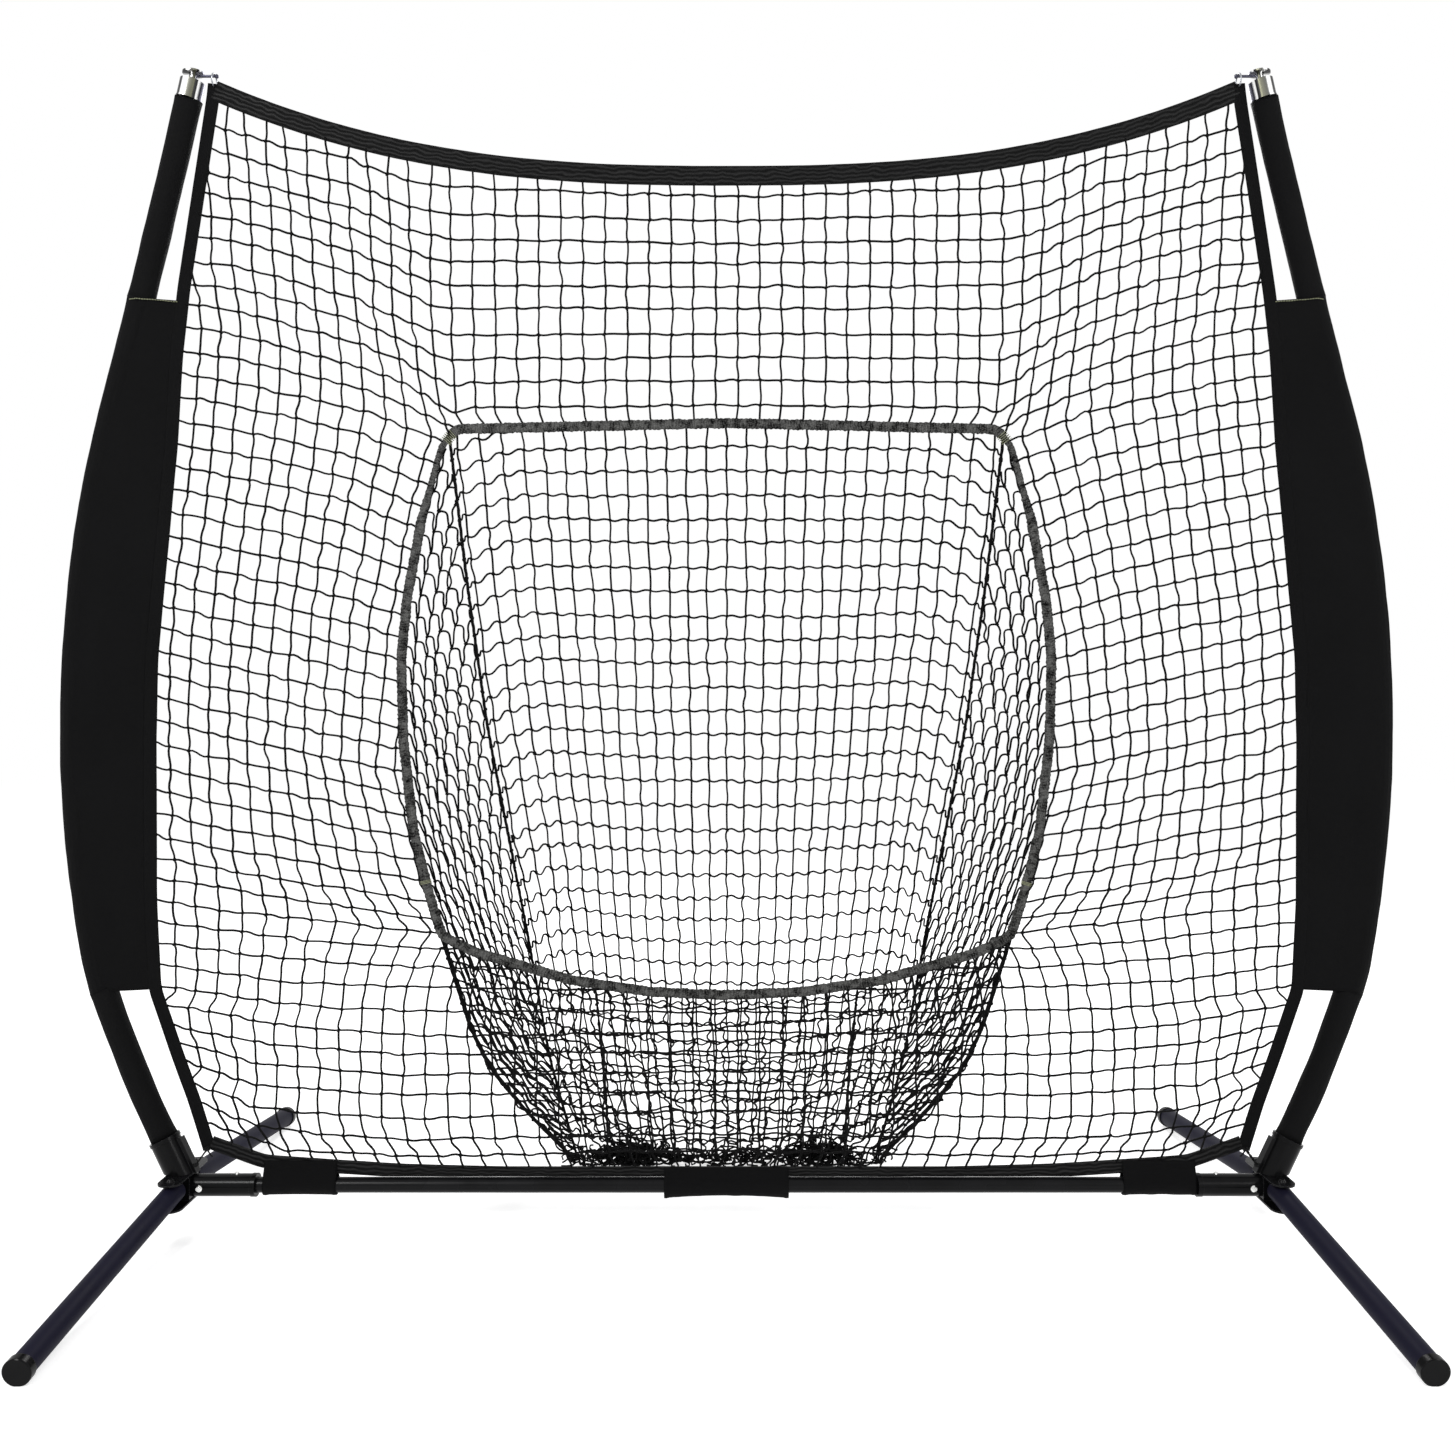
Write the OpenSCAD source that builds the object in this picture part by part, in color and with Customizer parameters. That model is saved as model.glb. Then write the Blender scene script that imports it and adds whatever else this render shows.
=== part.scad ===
// Pitching target net: two bent poles on a folding base hold a flat net with a ball pocket behind it.
// Millimetres. X runs along the net, +Y points away from the pitcher and +Z is up.
// The origin is on the ground, under the middle of the net.

/* [Base] */
// Distance from the middle of the net to each base corner
corner_x = 1006; // [1000:1:1010]
// Height of the crossbar's centre line
bar_z = 75; // [74:1:78]
// Outside diameter of the crossbar
bar_d = 28; // [27:1:30]
// Outside diameter of the crossbar's end sockets
socket_d = 40; // [38:1:42]
// Length of each end socket
socket_length = 118; // [110:1:125]
// Wall of every steel tube
tube_wall = 1.5; // [1:0.1:2]

/* [Legs] */
// Distance from the net's plane to each leg's pivot
pivot_y = 52; // [50:1:56]
// Distance from the net's plane to the end of each foot
foot_y = 550; // [500:5:600]
// Height of a foot's centre, a little under its radius so that the foot stands on a flat
foot_z = 19.5; // [18.5:0.5:20.5]
// Outside diameter of the leg tubes
leg_d = 38; // [36:1:39]
// Outside diameter of the foot caps
foot_d = 43; // [42:1:45]
// Diameter of the pivot bolts
pivot_d = 8; // [6:1:8]

/* [Bow poles] */
// Lean of the poles at the base, from upright
bow_lean = 25.4; // [25:0.1:25.8]
// Outside diameter of the poles
pole_d = 25; // [24:0.5:26]
// Width of the fabric sleeves round the poles
sleeve_w = 46; // [42:1:50]
// Outside diameter of the moulded pole sockets
pole_socket_d = 53; // [50:1:54]
// Outside diameter of the metal pole caps
pole_cap_d = 44; // [42:1:46]
// Height of the top of the pole caps
top_z = 2134; // [2134:0.5:2136]

/* [Net] */
// Width of the webbing down the sides
side_web = 25; // [22:1:28]
// Width of the webbing along the top
top_web = 38; // [34:1:40]
// Width of the webbing along the crossbar
bottom_web = 27; // [24:1:28]
// Height of the top webbing's centre line at the middle
top_low = 1943; // [1940:1:1950]
// How much higher the top webbing is at its ends
top_sag = 158; // [150:1:160]
// Width of the binding round the mouth of the pocket
rim_w = 17; // [14:1:20]
// Thickness of the binding round the mouth of the pocket
rim_thick = 8; // [6:1:9]
// Width of the netting's strands
strand_w = 4; // [3:0.5:6]
// Thickness of netting, webbing and fabric
cloth = 2; // [2:0.5:3]

/* [Hidden] */
$fn = 48;

steel_black = "#17171b";
leg_navy = "#262733";
moulded_black = "#131313";
bright_metal = "#c9c9c6";
spring_steel = "#8d9096";
pole_grey = "#2b2d30";
panel_black = "#1b1b1c";
web_black = "#161617";
rim_grey = "#3c3d3c";
net_black = "#101011";

fit_gap = 0.05; // radial clearance of a turning or sliding fit
loose_gap = 0.1; // radial clearance of a push fit

// Corner bracket: two plates with a block between them
plate_r = 22;
plate_thick = 3;
plate_gap = 44;
plate_top = bar_z + plate_gap / 2 + plate_thick;
block = 40;
spigot_length = 28;
socket_start = corner_x - block / 2;
socket_end = socket_start - socket_length;
bolt_x = corner_x - 37;
bolt_r = 3;

// Crossbar
bar_end = corner_x - 51;
coupler_length = 200;
button_x = corner_x - 100;
button_r = 4;
button_top = bar_z + socket_d / 2 + 3.5;
bar_bore = bar_d / 2 - tube_wall;

// Legs
droop = atan((bar_z - foot_z) / (foot_y - pivot_y));
leg_length = norm([foot_y - pivot_y, bar_z - foot_z]);
foot_length = 16;
foot_floor = 6;
bush_r = 7;

// The bow's centre line, from the base up: length of each run and how far it turns inwards
bow_start = [corner_x + 4, bar_z + 22, bow_lean];
bow_runs = [[80, 0], [300, 7], [50, 8], [1040, 25], [605, -2]];
bow_length = 2075;
bow_step = 80;
pole_seat = 12;
pole_joints = [692, 1383];
ferrule_half = 60;
pole_wall = 3;
pole_socket_length = 72;
panel_from = 368;
panel_to = 1660;
cap_from = 2042;
cap_side = 35;
cap_crown = 5;

// Centre line of the side webbing, from the top corner down, as [x, z]
side_line = [
    [948, 2113], [951, 2085], [980, 1895], [1005, 1730], [1018, 1610], [1028, 1440],
    [1042, 1290], [1055, 1150], [1064, 1050], [1067, 900], [1066, 600], [1058, 438],
    [1016, 324], [979, 231], [948, 148]
];
// Centre line of the bottom webbing, from its middle out
bottom_line = [[0, 96], [414, 96], [600, 101], [710, 108], [849, 118], [942, 150]];
// Centre line of the mouth's binding, clockwise from the top
mouth_half = [
    [500, 1474], [527, 1443], [565, 1304], [592, 1156], [602, 1050], [598, 897],
    [580, 731], [555, 629], [527, 536], [465, 505], [285, 453], [140, 436]
];
mouth_top = [0, 1485];
mouth_bottom = [0, 430];
mouth_corner_top = 1443;
mouth_corner_bottom = 536;

// Pocket seams on the right, from the mouth down, as [x, y, z]
pocket_bottom_z = 24;
back_seam = [
    [500, 6, 1472], [472, 80, 1190], [443, 160, 913], [384, 300, 491], [372, 378, 200],
    [345, 370, 80], [312, 292, pocket_bottom_z]
];
front_seam = [
    [527, 6, 1443], [565, 6, 1304], [592, 6, 1156], [602, 6, 1050], [598, 6, 897],
    [580, 6, 731], [555, 6, 629], [527, 6, 536], [484, 60, 348], [455, 110, 255],
    [389, 190, 137], [318, 280, pocket_bottom_z]
];
skirt_bottom_y = 284;
back_bulge = 34;
side_bulge = 12;

mouth = concat(
    [mouth_top], mouth_half, [mouth_bottom],
    [for (i = [len(mouth_half) - 1:-1:0]) [-mouth_half[i][0], mouth_half[i][1]]]
);
mouth_sides = len(mouth_half);
corners = len(mouth);
high_corner = 2;
low_corner = 9;

function mix(a, b, t) = a + (b - a) * t;
function unit(v) = v / norm(v);
function turned(v) = [-v[1], v[0]];
function column(points, key, value) = [for (p = points) [p[key], p[value]]];

// Where a run of the bow ends: [x, z, lean]
function run_end(p, span, turn) =
    turn == 0 ? [p[0] + span * sin(p[2]), p[1] + span * cos(p[2]), p[2]]
    : let(radius = span * 180 / (PI * turn), lean = p[2] - turn)
        [p[0] + radius * (cos(lean) - cos(p[2])), p[1] + radius * (sin(p[2]) - sin(lean)), lean];

// Place and lean of the bow's centre line at a distance along it
function bow_at(s, run = 0, p = bow_start) =
    let(span = bow_runs[run][0], turn = bow_runs[run][1])
    s <= span || run == len(bow_runs) - 1 ? run_end(p, s, turn * s / span)
    : bow_at(s - span, run + 1, run_end(p, span, turn));

// A strip of even width along a line of points in the net's plane
function normal_at(line, i) =
    turned(unit(line[min(i + 1, len(line) - 1)] - line[max(i - 1, 0)]));
function strip(line, half) = concat(
    [for (i = [0:len(line) - 1]) line[i] + half * normal_at(line, i)],
    [for (i = [len(line) - 1:-1:0]) line[i] - half * normal_at(line, i)]
);

// A point of the mouth's outline moved outwards
function mouth_point(i, shift) =
    let(n = len(mouth), before = mouth[(i + n - 1) % n], after = mouth[(i + 1) % n])
    mouth[i % n] + shift * turned(unit(after - before));

function top_line_z(x) = top_low + top_sag * pow(abs(x) / 948, 2.6);
function net_side(z) = lookup(z, column(side_line, 1, 0)) - side_web / 2;

module on_side(side) {
    mirror([side < 0 ? 1 : 0, 0, 0]) children();
}

// Lays a flat outline drawn as [x, z] in the net's plane
module upright(thick) {
    rotate([90, 0, 0]) linear_extrude(thick, center = true) children();
}

module rod_along_bar(from, to, radius) {
    translate([from, 0, bar_z]) rotate([0, 90, 0]) cylinder(h = to - from, r = radius);
}

// The crossbar

module crossbar(side) {
    color(steel_black) on_side(side) difference() {
        rod_along_bar(0, bar_end, bar_d / 2);
        rod_along_bar(-1, bar_end + 1, bar_bore);
        translate([button_x, 0, bar_z]) cylinder(h = bar_d, r = button_r + fit_gap);
    }
}

module crossbar_coupler() {
    color(spring_steel) difference() {
        rod_along_bar(-coupler_length / 2, coupler_length / 2, bar_bore - fit_gap);
        rod_along_bar(-coupler_length, coupler_length, bar_bore - 2 * tube_wall);
    }
}

module crossbar_socket(side) {
    rim_length = 9;
    color(moulded_black) on_side(side) difference() {
        union() {
            rod_along_bar(socket_end, socket_start, socket_d / 2);
            rod_along_bar(socket_end, socket_end + rim_length, socket_d / 2 + 1);
        }
        rod_along_bar(socket_end - 1, socket_start + 1, bar_d / 2 + loose_gap);
        translate([button_x, 0, bar_z]) cylinder(h = socket_d, r = button_r + fit_gap);
        translate([bolt_x, 0, bar_z]) rotate([90, 0, 0])
            cylinder(h = 2 * socket_d, r = bolt_r + loose_gap, center = true);
    }
}

module snap_button(side) {
    flange_top = bar_z + bar_bore - 1.8;
    flange = 1.5;
    dome = 1;
    color(bright_metal) on_side(side) translate([button_x, 0, 0]) {
        translate([0, 0, flange_top - flange]) cylinder(h = flange, r = button_r + 1.5);
        translate([0, 0, flange_top - flange])
            cylinder(h = button_top - dome - flange_top + flange, r = button_r);
        translate([0, 0, button_top - dome]) cylinder(h = dome, r1 = button_r, r2 = button_r - dome);
    }
}

// A bent leaf inside the crossbar that pushes the button up
module snap_spring(side) {
    low = bar_z - bar_bore + 0.9;
    high = bar_z + bar_bore - 3.4;
    leaf = 0.8;
    bend = low + 6;
    color(spring_steel) on_side(side) translate([button_x, 0, 0]) upright(8) polygon([
        [-8, low], [-44, low], [-48, low + 3], [-44, bend], [-8, high], [5, high],
        [5, high - leaf], [-8, high - leaf], [-43, bend - leaf], [-46.5, low + 3],
        [-43.5, low + leaf], [-8, low + leaf]
    ]);
}

// The corner brackets and their fasteners

module corner_bracket(side) {
    color(steel_black) on_side(side) difference() {
        union() {
            for (z = [bar_z - plate_gap / 2 - plate_thick, bar_z + plate_gap / 2])
                translate([corner_x, 0, z]) linear_extrude(plate_thick) {
                    square([2 * plate_r, 2 * pivot_y], center = true);
                    for (y = [-pivot_y, pivot_y]) translate([0, y]) circle(plate_r);
                }
            translate([corner_x, 0, bar_z]) cube([block, block, plate_gap], center = true);
            rod_along_bar(socket_start - spigot_length, socket_start, bar_d / 2);
        }
        for (y = [-pivot_y, pivot_y]) translate([corner_x, y, 0])
            cylinder(h = 2 * bar_z, r = pivot_d / 2 + fit_gap);
        translate([bolt_x, 0, bar_z]) rotate([90, 0, 0])
            cylinder(h = 2 * block, r = bolt_r + fit_gap, center = true);
    }
}

module socket_bolts() {
    head_r = 6.5;
    head = 3;
    nut = 5;
    color(bright_metal) for (side = [-1, 1]) on_side(side)
        translate([bolt_x, -socket_d / 2 - head, bar_z]) rotate([-90, 0, 0]) {
            cylinder(h = head, r1 = head_r - 2, r2 = head_r);
            cylinder(h = socket_d + head + nut, r = bolt_r);
            translate([0, 0, head + socket_d]) cylinder(h = nut, r = head_r, $fn = 6);
        }
}

module pivot_bolts() {
    head_r = 7;
    head = 5;
    color(bright_metal) for (side = [-1, 1], y = [-pivot_y, pivot_y]) on_side(side)
        translate([corner_x, y, plate_top]) {
            cylinder(h = head, r1 = head_r, r2 = head_r - 3);
            translate([0, 0, -2 * plate_thick - plate_gap - head])
                cylinder(h = 2 * plate_thick + plate_gap + head, r = pivot_d / 2);
            translate([0, 0, -2 * plate_thick - plate_gap - head])
                cylinder(h = head, r = head_r, $fn = 6);
        }
}

module tie_hooks() {
    wire_r = 1.8;
    hook_r = 8;
    lug = 7;
    color(steel_black) for (side = [-1, 1]) on_side(side)
        translate([corner_x + block / 2, 0, bar_z]) {
            translate([0, -lug / 2, -lug / 2]) cube(lug);
            translate([lug / 2 + hook_r, 0, 0]) rotate([90, -60, 0])
                rotate_extrude(angle = 240) translate([hook_r, 0]) circle(wire_r, $fn = 24);
        }
}

// The folding legs. Local z runs down the leg from its pivot.

module at_leg(side, end) {
    on_side(side) mirror([0, end > 0 ? 1 : 0, 0]) translate([corner_x, -pivot_y, bar_z])
        rotate([90 + droop, 0, 0]) children();
}

module leg(side, end) {
    r = leg_d / 2;
    color(leg_navy) difference() {
        union() {
            at_leg(side, end) difference() {
                translate([0, 0, -r]) cylinder(h = leg_length + r - foot_floor, r = r);
                translate([0, 0, tube_wall - r]) cylinder(h = leg_length + r, r = r - tube_wall);
            }
            on_side(side) translate([corner_x, end * pivot_y, bar_z])
                cylinder(h = plate_gap - 0.6, r = bush_r, center = true);
        }
        on_side(side) translate([corner_x, end * pivot_y, 0])
            cylinder(h = 2 * bar_z, r = pivot_d / 2 + fit_gap);
    }
}

module foot_cap(side, end) {
    r = foot_d / 2;
    inner = leg_d / 2 + fit_gap;
    soft = 1.5;
    color(moulded_black) difference() {
        at_leg(side, end) translate([0, 0, leg_length - foot_length]) rotate_extrude() polygon([
            [inner, 0], [r - soft, 0], [r, soft], [r, foot_length - soft],
            [r - soft, foot_length], [0, foot_length], [0, foot_length - foot_floor],
            [inner, foot_length - foot_floor]
        ]);
        on_side(side) translate([corner_x - foot_d, -2 * foot_y, -foot_d])
            cube([2 * foot_d, 4 * foot_y, foot_d]);
    }
}

// The bow poles

// Carries its children to a place on the bow, with z along the pole and x outwards
module at_bow(s) {
    p = bow_at(s);
    translate([p[0], 0, p[1]]) rotate([0, p[2], 0]) children();
}

// A point beside the bow's centre line: q is [outwards, away from the pitcher]
function beside_bow(s, q) =
    let(p = bow_at(s))
    [p[0] + q[0] * cos(p[2]), q[1], p[1] - q[0] * sin(p[2])];

function ring(radius, sides) = [
    for (i = [0:sides - 1]) radius * [cos(360 * i / sides), sin(360 * i / sides)]
];

// Where everything along the bow has its rings of points, closer together in the tight bend
bend_from = bow_runs[0][0] + bow_runs[1][0];
bend_spans = 3;
ring_places = concat(
    [for (s = [bow_step:bow_step:bend_from - 1]) s],
    [for (i = [0:bend_spans]) bend_from + bow_runs[2][0] * i / bend_spans],
    [for (s = [6 * bow_step:bow_step:bow_length - 1]) s]
);
function places(from, to) =
    concat([from], [for (s = ring_places) if (s > from + 5 && s < to - 5) s], [to]);

// A pipe along the bow between an outer and an inner outline of as many points
module bow_pipe(from, to, outer, inner) {
    n = len(outer);
    stations = places(from, to);
    spans = len(stations) - 1;
    last = 2 * n * spans;
    around = [for (i = [0:n - 1]) [i, (i + 1) % n]];
    walls = [for (k = [0:spans - 1], e = around) [2 * n * k + e[0], 2 * n * k + e[1]]];
    polyhedron(
        points = [
            for (s = stations, outline = [outer, inner], q = outline) beside_bow(s, q)
        ],
        faces = concat(
            [for (w = walls) [w[0] + 2 * n, w[0], w[1]]],
            [for (w = walls) [w[0] + 2 * n, w[1], w[1] + 2 * n]],
            [for (w = walls) [w[0] + n, w[0] + 3 * n, w[1] + n]],
            [for (w = walls) [w[1] + n, w[0] + 3 * n, w[1] + 3 * n]],
            [for (e = around) [e[0], n + e[0], n + e[1]]],
            [for (e = around) [e[0], n + e[1], e[1]]],
            [for (e = around) [last + e[0], last + n + e[1], last + n + e[0]]],
            [for (e = around) [last + e[0], last + e[1], last + n + e[1]]]
        )
    );
}

module pole(side, from, to) {
    color(pole_grey) on_side(side)
        bow_pipe(from, to, ring(pole_d / 2, 12), ring(pole_d / 2 - pole_wall, 12));
}

module pole_ferrules() {
    outer = pole_d / 2 - pole_wall - 3 * loose_gap;
    color(spring_steel) for (side = [-1, 1], s = pole_joints) on_side(side)
        bow_pipe(s - ferrule_half, s + ferrule_half, ring(outer, 12), ring(outer - 2, 12));
}

module pole_socket(side) {
    r = pole_socket_d / 2;
    rib = 9;
    color(moulded_black) on_side(side) difference() {
        at_bow(0) {
            translate([0, 0, -r]) cylinder(h = pole_socket_length + r, r = r);
            translate([0, 0, pole_socket_length - 7]) cylinder(h = 7, r = r + 1.5);
            translate([-r - rib / 2, -rib, -r]) cube([r, 2 * rib, pole_socket_length + r - 12]);
        }
        at_bow(0) translate([0, 0, pole_seat])
            cylinder(h = pole_socket_length, r = pole_d / 2 + loose_gap);
        translate([corner_x - 3 * r, -3 * r, plate_top - 6 * r]) cube(6 * r);
    }
}

module pole_cap(side) {
    r = pole_cap_d / 2;
    crown_r = (r * r + cap_crown * cap_crown) / (2 * cap_crown);
    tip = bow_at(cap_from + cap_side + cap_crown);
    color(bright_metal) on_side(side) {
        difference() {
            at_bow(cap_from) {
                cylinder(h = cap_side, r = r);
                cylinder(h = 3, r = r + 0.8);
                intersection() {
                    cylinder(h = cap_side + cap_crown, r = r);
                    translate([0, 0, cap_side + cap_crown - crown_r]) sphere(crown_r, $fn = 96);
                }
            }
            at_bow(cap_from) translate([0, 0, -1])
                cylinder(h = bow_length - cap_from + 1.5, r = pole_d / 2 + loose_gap);
        }
        translate([tip[0], 0, tip[1] - 3]) cylinder(h = top_z - tip[1] + 3, r = 7);
        translate([tip[0], 0, top_z - 3]) cylinder(h = 3, r = 19);
        translate([tip[0] - ring_reach, 0, arm_z]) rotate([0, 90, 0])
            cylinder(h = ring_reach, r = arm_r);
        translate([tip[0] - ring_reach, 0, arm_z]) sphere(arm_r + 1.5);
    }
}

arm_z = top_z - 7;
arm_r = 2.5;
ring_reach = 43;
ring_r = 12;
ring_wire = 1.5;
ring_x = side_line[0][0];
ring_z = arm_z + arm_r - ring_r + ring_wire - loose_gap;

module corner_rings() {
    color(bright_metal) for (side = [-1, 1]) on_side(side) translate([ring_x, 0, ring_z])
        rotate([0, 90, 0]) rotate_extrude() translate([ring_r, 0]) circle(ring_wire, $fn = 24);
}

// Fabric round the poles

// A sleeve is a round tube of fabric drawn out sideways
module sleeve(side, from, to) {
    round_r = 16;
    slack = sleeve_w / 2 - round_r;
    outer = [
        for (q = ring(round_r, 16))
            [abs(q[0]) > 0.01 ? q[0] + slack * sign(q[0]) : 0, q[1]]
    ];
    color(panel_black) on_side(side)
        bow_pipe(from, to, outer, ring(pole_d / 2 + 5 * loose_gap, 16));
}

// The panel fills the space from the pole's sleeve to the side webbing
module side_panel(side) {
    tuck = sleeve_w / 2 + loose_gap;
    outer = [
        for (s = places(panel_from, panel_to))
            let(p = bow_at(s)) [p[0] - tuck * cos(p[2]), p[1] + tuck * sin(p[2])]
    ];
    steps = len(outer) - 1;
    inner = [
        for (i = [0:steps])
            let(z = mix(outer[steps][1], outer[0][1], i / steps))
            [net_side(z) + side_web / 2, z]
    ];
    color(panel_black) upright(cloth) difference() {
        on_side(side) polygon(concat(outer, inner));
        side_webbing_outline(side);
    }
}

// Webbing round the net

module side_webbing_outline(side) {
    on_side(side) polygon(strip(side_line, side_web / 2));
}

module side_webbing(side) {
    color(web_black) difference() {
        upright(cloth + 1) side_webbing_outline(side);
        on_side(side) translate([ring_x, 0, ring_z - ring_r]) rotate([90, 0, 0])
            cylinder(h = 20, r = ring_wire + 1, center = true);
    }
}

module top_webbing_outline() {
    steps = 14;
    line = [for (i = [-steps:steps]) let(x = 950 * i / steps) [x, top_line_z(x)]];
    polygon(strip(line, top_web / 2));
}

module top_webbing() {
    color(web_black) upright(cloth + 1) difference() {
        top_webbing_outline();
        for (side = [-1, 1]) side_webbing_outline(side);
    }
}

// It sags between the tabs, where its lower edge rests on the crossbar
module bottom_webbing_outline() {
    line = concat(
        [for (i = [len(bottom_line) - 1:-1:1]) [-bottom_line[i][0], bottom_line[i][1]]],
        bottom_line
    );
    polygon(strip(line, bottom_web / 2));
}

module bottom_webbing() {
    color(web_black) upright(cloth + 1) difference() {
        bottom_webbing_outline();
        for (side = [-1, 1]) side_webbing_outline(side);
        translate([-corner_x, 0]) square([2 * corner_x, bar_z + bar_d / 2 + loose_gap]);
    }
}

// Loops of tape that hold the bottom webbing to the crossbar
module bar_tabs() {
    tape = 2.5;
    over = bar_d / 2 + 0.3;
    beside = (cloth + 1) / 2 + loose_gap;
    middle_top = bottom_line[0][1] + bottom_web / 2 - 2;
    end_top = bottom_line[3][1] + bottom_web / 2 - 1;
    spans = [[-855, -720, end_top], [-115, 115, middle_top], [720, 855, end_top]];
    color(web_black) for (span = spans) let(top = span[2], meets = top - 12)
        translate([span[0], 0, 0]) rotate([90, 0, 90])
        linear_extrude(span[1] - span[0]) difference() {
            union() {
                translate([0, bar_z]) circle(over + tape);
                polygon([
                    [-over - tape, bar_z], [-beside - tape, meets], [-beside - tape, top],
                    [beside + tape, top], [beside + tape, meets], [over + tape, bar_z]
                ]);
            }
            translate([0, bar_z]) circle(over);
            polygon([
                [-over, bar_z], [-beside, meets], [-beside, top + 1],
                [beside, top + 1], [beside, meets], [over, bar_z]
            ]);
        }
}

// Short cords from the net's bottom corners to the pole sockets
module corner_ties() {
    tie_r = 2.5;
    knot_r = 4;
    from = [952, -cloth - knot_r, 142];
    to = [980, -cloth - knot_r, 114];
    reach = norm(to - from);
    color(web_black) for (side = [-1, 1]) on_side(side) translate(from)
        rotate([0, atan2(to[0] - from[0], to[2] - from[2]), 0]) rotate_extrude() polygon([
            [0, -knot_r], [tie_r, -knot_r], [knot_r, -1], [knot_r, 1], [tie_r, knot_r],
            [tie_r, reach], [0, reach]
        ]);
}

// The flat net, in four parts round the pocket's mouth.
// A part is a grid of knots, rows of [x, z], with a gap inside each square of four knots.

net_cell = 98;

function gap_in(grid, i, j) =
    let(
        corners = [grid[i][j], grid[i][j + 1], grid[i + 1][j + 1], grid[i + 1][j]],
        middle = (corners[0] + corners[1] + corners[2] + corners[3]) / 4
    )
    [for (c = corners) mix(c, middle, strand_w / net_cell)];

module mouth_outline() {
    polygon([for (i = [0:len(mouth) - 1]) mouth_point(i, rim_w / 2)]);
}

module net_part(grid) {
    rows = len(grid) - 1;
    columns = len(grid[0]) - 1;
    outline = concat(
        grid[0],
        [for (i = [1:rows - 1]) grid[i][columns]],
        [for (j = [columns:-1:0]) grid[rows][j]],
        [for (i = [rows - 1:-1:1]) grid[i][0]]
    );
    color(net_black) upright(cloth) difference() {
        polygon(outline);
        for (i = [0:rows - 1], j = [0:columns - 1]) polygon(gap_in(grid, i, j));
        mouth_outline();
        top_webbing_outline();
        bottom_webbing_outline();
        for (side = [-1, 1]) side_webbing_outline(side);
    }
}

over_mouth = [[0, 1490], [503, 1479], [536, mouth_corner_top], [1100, mouth_corner_top]];
under_mouth = [
    [0, 425], [140, 431], [285, 448], [465, 500], [536, mouth_corner_bottom],
    [1100, mouth_corner_bottom]
];
above_bar = [for (p = bottom_line) p + [0, bottom_web / 2 - 1]];

// Grid between a lower and an upper edge that run from one side webbing to the other
function wide_grid(columns, rows, low_edge, high_edge) = [
    for (i = [0:rows]) [
        for (j = [0:columns])
            let(
                u = 2 * j / columns - 1,
                z = mix(low_edge[j], high_edge[j], i / rows)
            )
            [u * net_side(z), z]
    ]
];

module net_upper() {
    columns = 21;
    low = [
        for (j = [0:columns])
            lookup(abs(2 * j / columns - 1) * net_side(mouth_corner_top), over_mouth)
    ];
    high = [
        for (j = [0:columns]) top_line_z((2 * j / columns - 1) * 940) - top_web / 2
    ];
    net_part(wide_grid(columns, 5, low, high));
}

module net_lower() {
    columns = 20;
    low = [for (j = [0:columns]) lookup(abs(2 * j / columns - 1) * 942, above_bar)];
    high = [
        for (j = [0:columns])
            lookup(abs(2 * j / columns - 1) * net_side(mouth_corner_bottom), under_mouth)
    ];
    net_part(wide_grid(columns, 4, low, high));
}

module net_beside(side) {
    columns = 5;
    rows = 9;
    edge = column(mouth_half, 1, 0);
    on_side(side) net_part([
        for (i = [0:rows])
            let(z = mix(mouth_corner_bottom, mouth_corner_top, i / rows))
            [for (j = [0:columns]) [mix(lookup(z, edge), net_side(z), j / columns), z]]
    ]);
}

// Binding round the mouth, from one corner of its outline to another
module rim(from, to) {
    color(rim_grey) upright(rim_thick) polygon(concat(
        [for (i = [from:to]) mouth_point(i, rim_w / 2)],
        [for (i = [to:-1:from]) mouth_point(i, -rim_w / 2)]
    ));
}

// The pocket, a bag of netting sewn from four pieces.
// A piece is a grid of points with a thin closed skin round it.
// The back, which is in full view, has a gap inside each square of four points.

// How far down the pocket a row of points is, closer together towards the bottom
function depth_of(i, rows) = mix(i / rows, sin(90 * i / rows), 0.5);

function on_seam(seam, z) =
    [lookup(z, column(seam, 2, 0)), lookup(z, column(seam, 2, 1)), z];

// Four points round each square of a grid, then the points round its whole edge, by number
function squares(rows, columns) = [
    for (i = [0:rows - 2], j = [0:columns - 2])
        [i * columns + j, i * columns + j + 1, (i + 1) * columns + j + 1, (i + 1) * columns + j]
];
function border(rows, columns) = concat(
    [for (j = [0:columns - 2]) j],
    [for (i = [0:rows - 2]) i * columns + columns - 1],
    [for (j = [columns - 1:-1:1]) (rows - 1) * columns + j],
    [for (i = [rows - 1:-1:1]) i * columns]
);

// Faces on both sides of a skin, whose far side has the same points again, numbered from back
function both_sides(quads, back) = concat(
    [for (q = quads) [q[0], q[1], q[2]]],
    [for (q = quads) [q[0], q[2], q[3]]],
    [for (q = quads) [back + q[2], back + q[1], back + q[0]]],
    [for (q = quads) [back + q[3], back + q[2], back + q[0]]]
);
function edge_walls(edges, back) = concat(
    [for (e = edges) [e[1], e[0], back + e[0]]],
    [for (e = edges) [back + e[0], back + e[1], e[1]]]
);
function around(ring) = [for (k = [0:len(ring) - 1]) [ring[k], ring[(k + 1) % len(ring)]]];

module skin(grid, thick) {
    rows = len(grid);
    columns = len(grid[0]);
    flat = [for (row = grid) for (p = row) p];
    polyhedron(
        points = concat([for (p = flat) p - thick / 2], [for (p = flat) p + thick / 2]),
        faces = concat(
            both_sides(squares(rows, columns), len(flat)),
            edge_walls(around(border(rows, columns)), len(flat))
        )
    );
}

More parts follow.
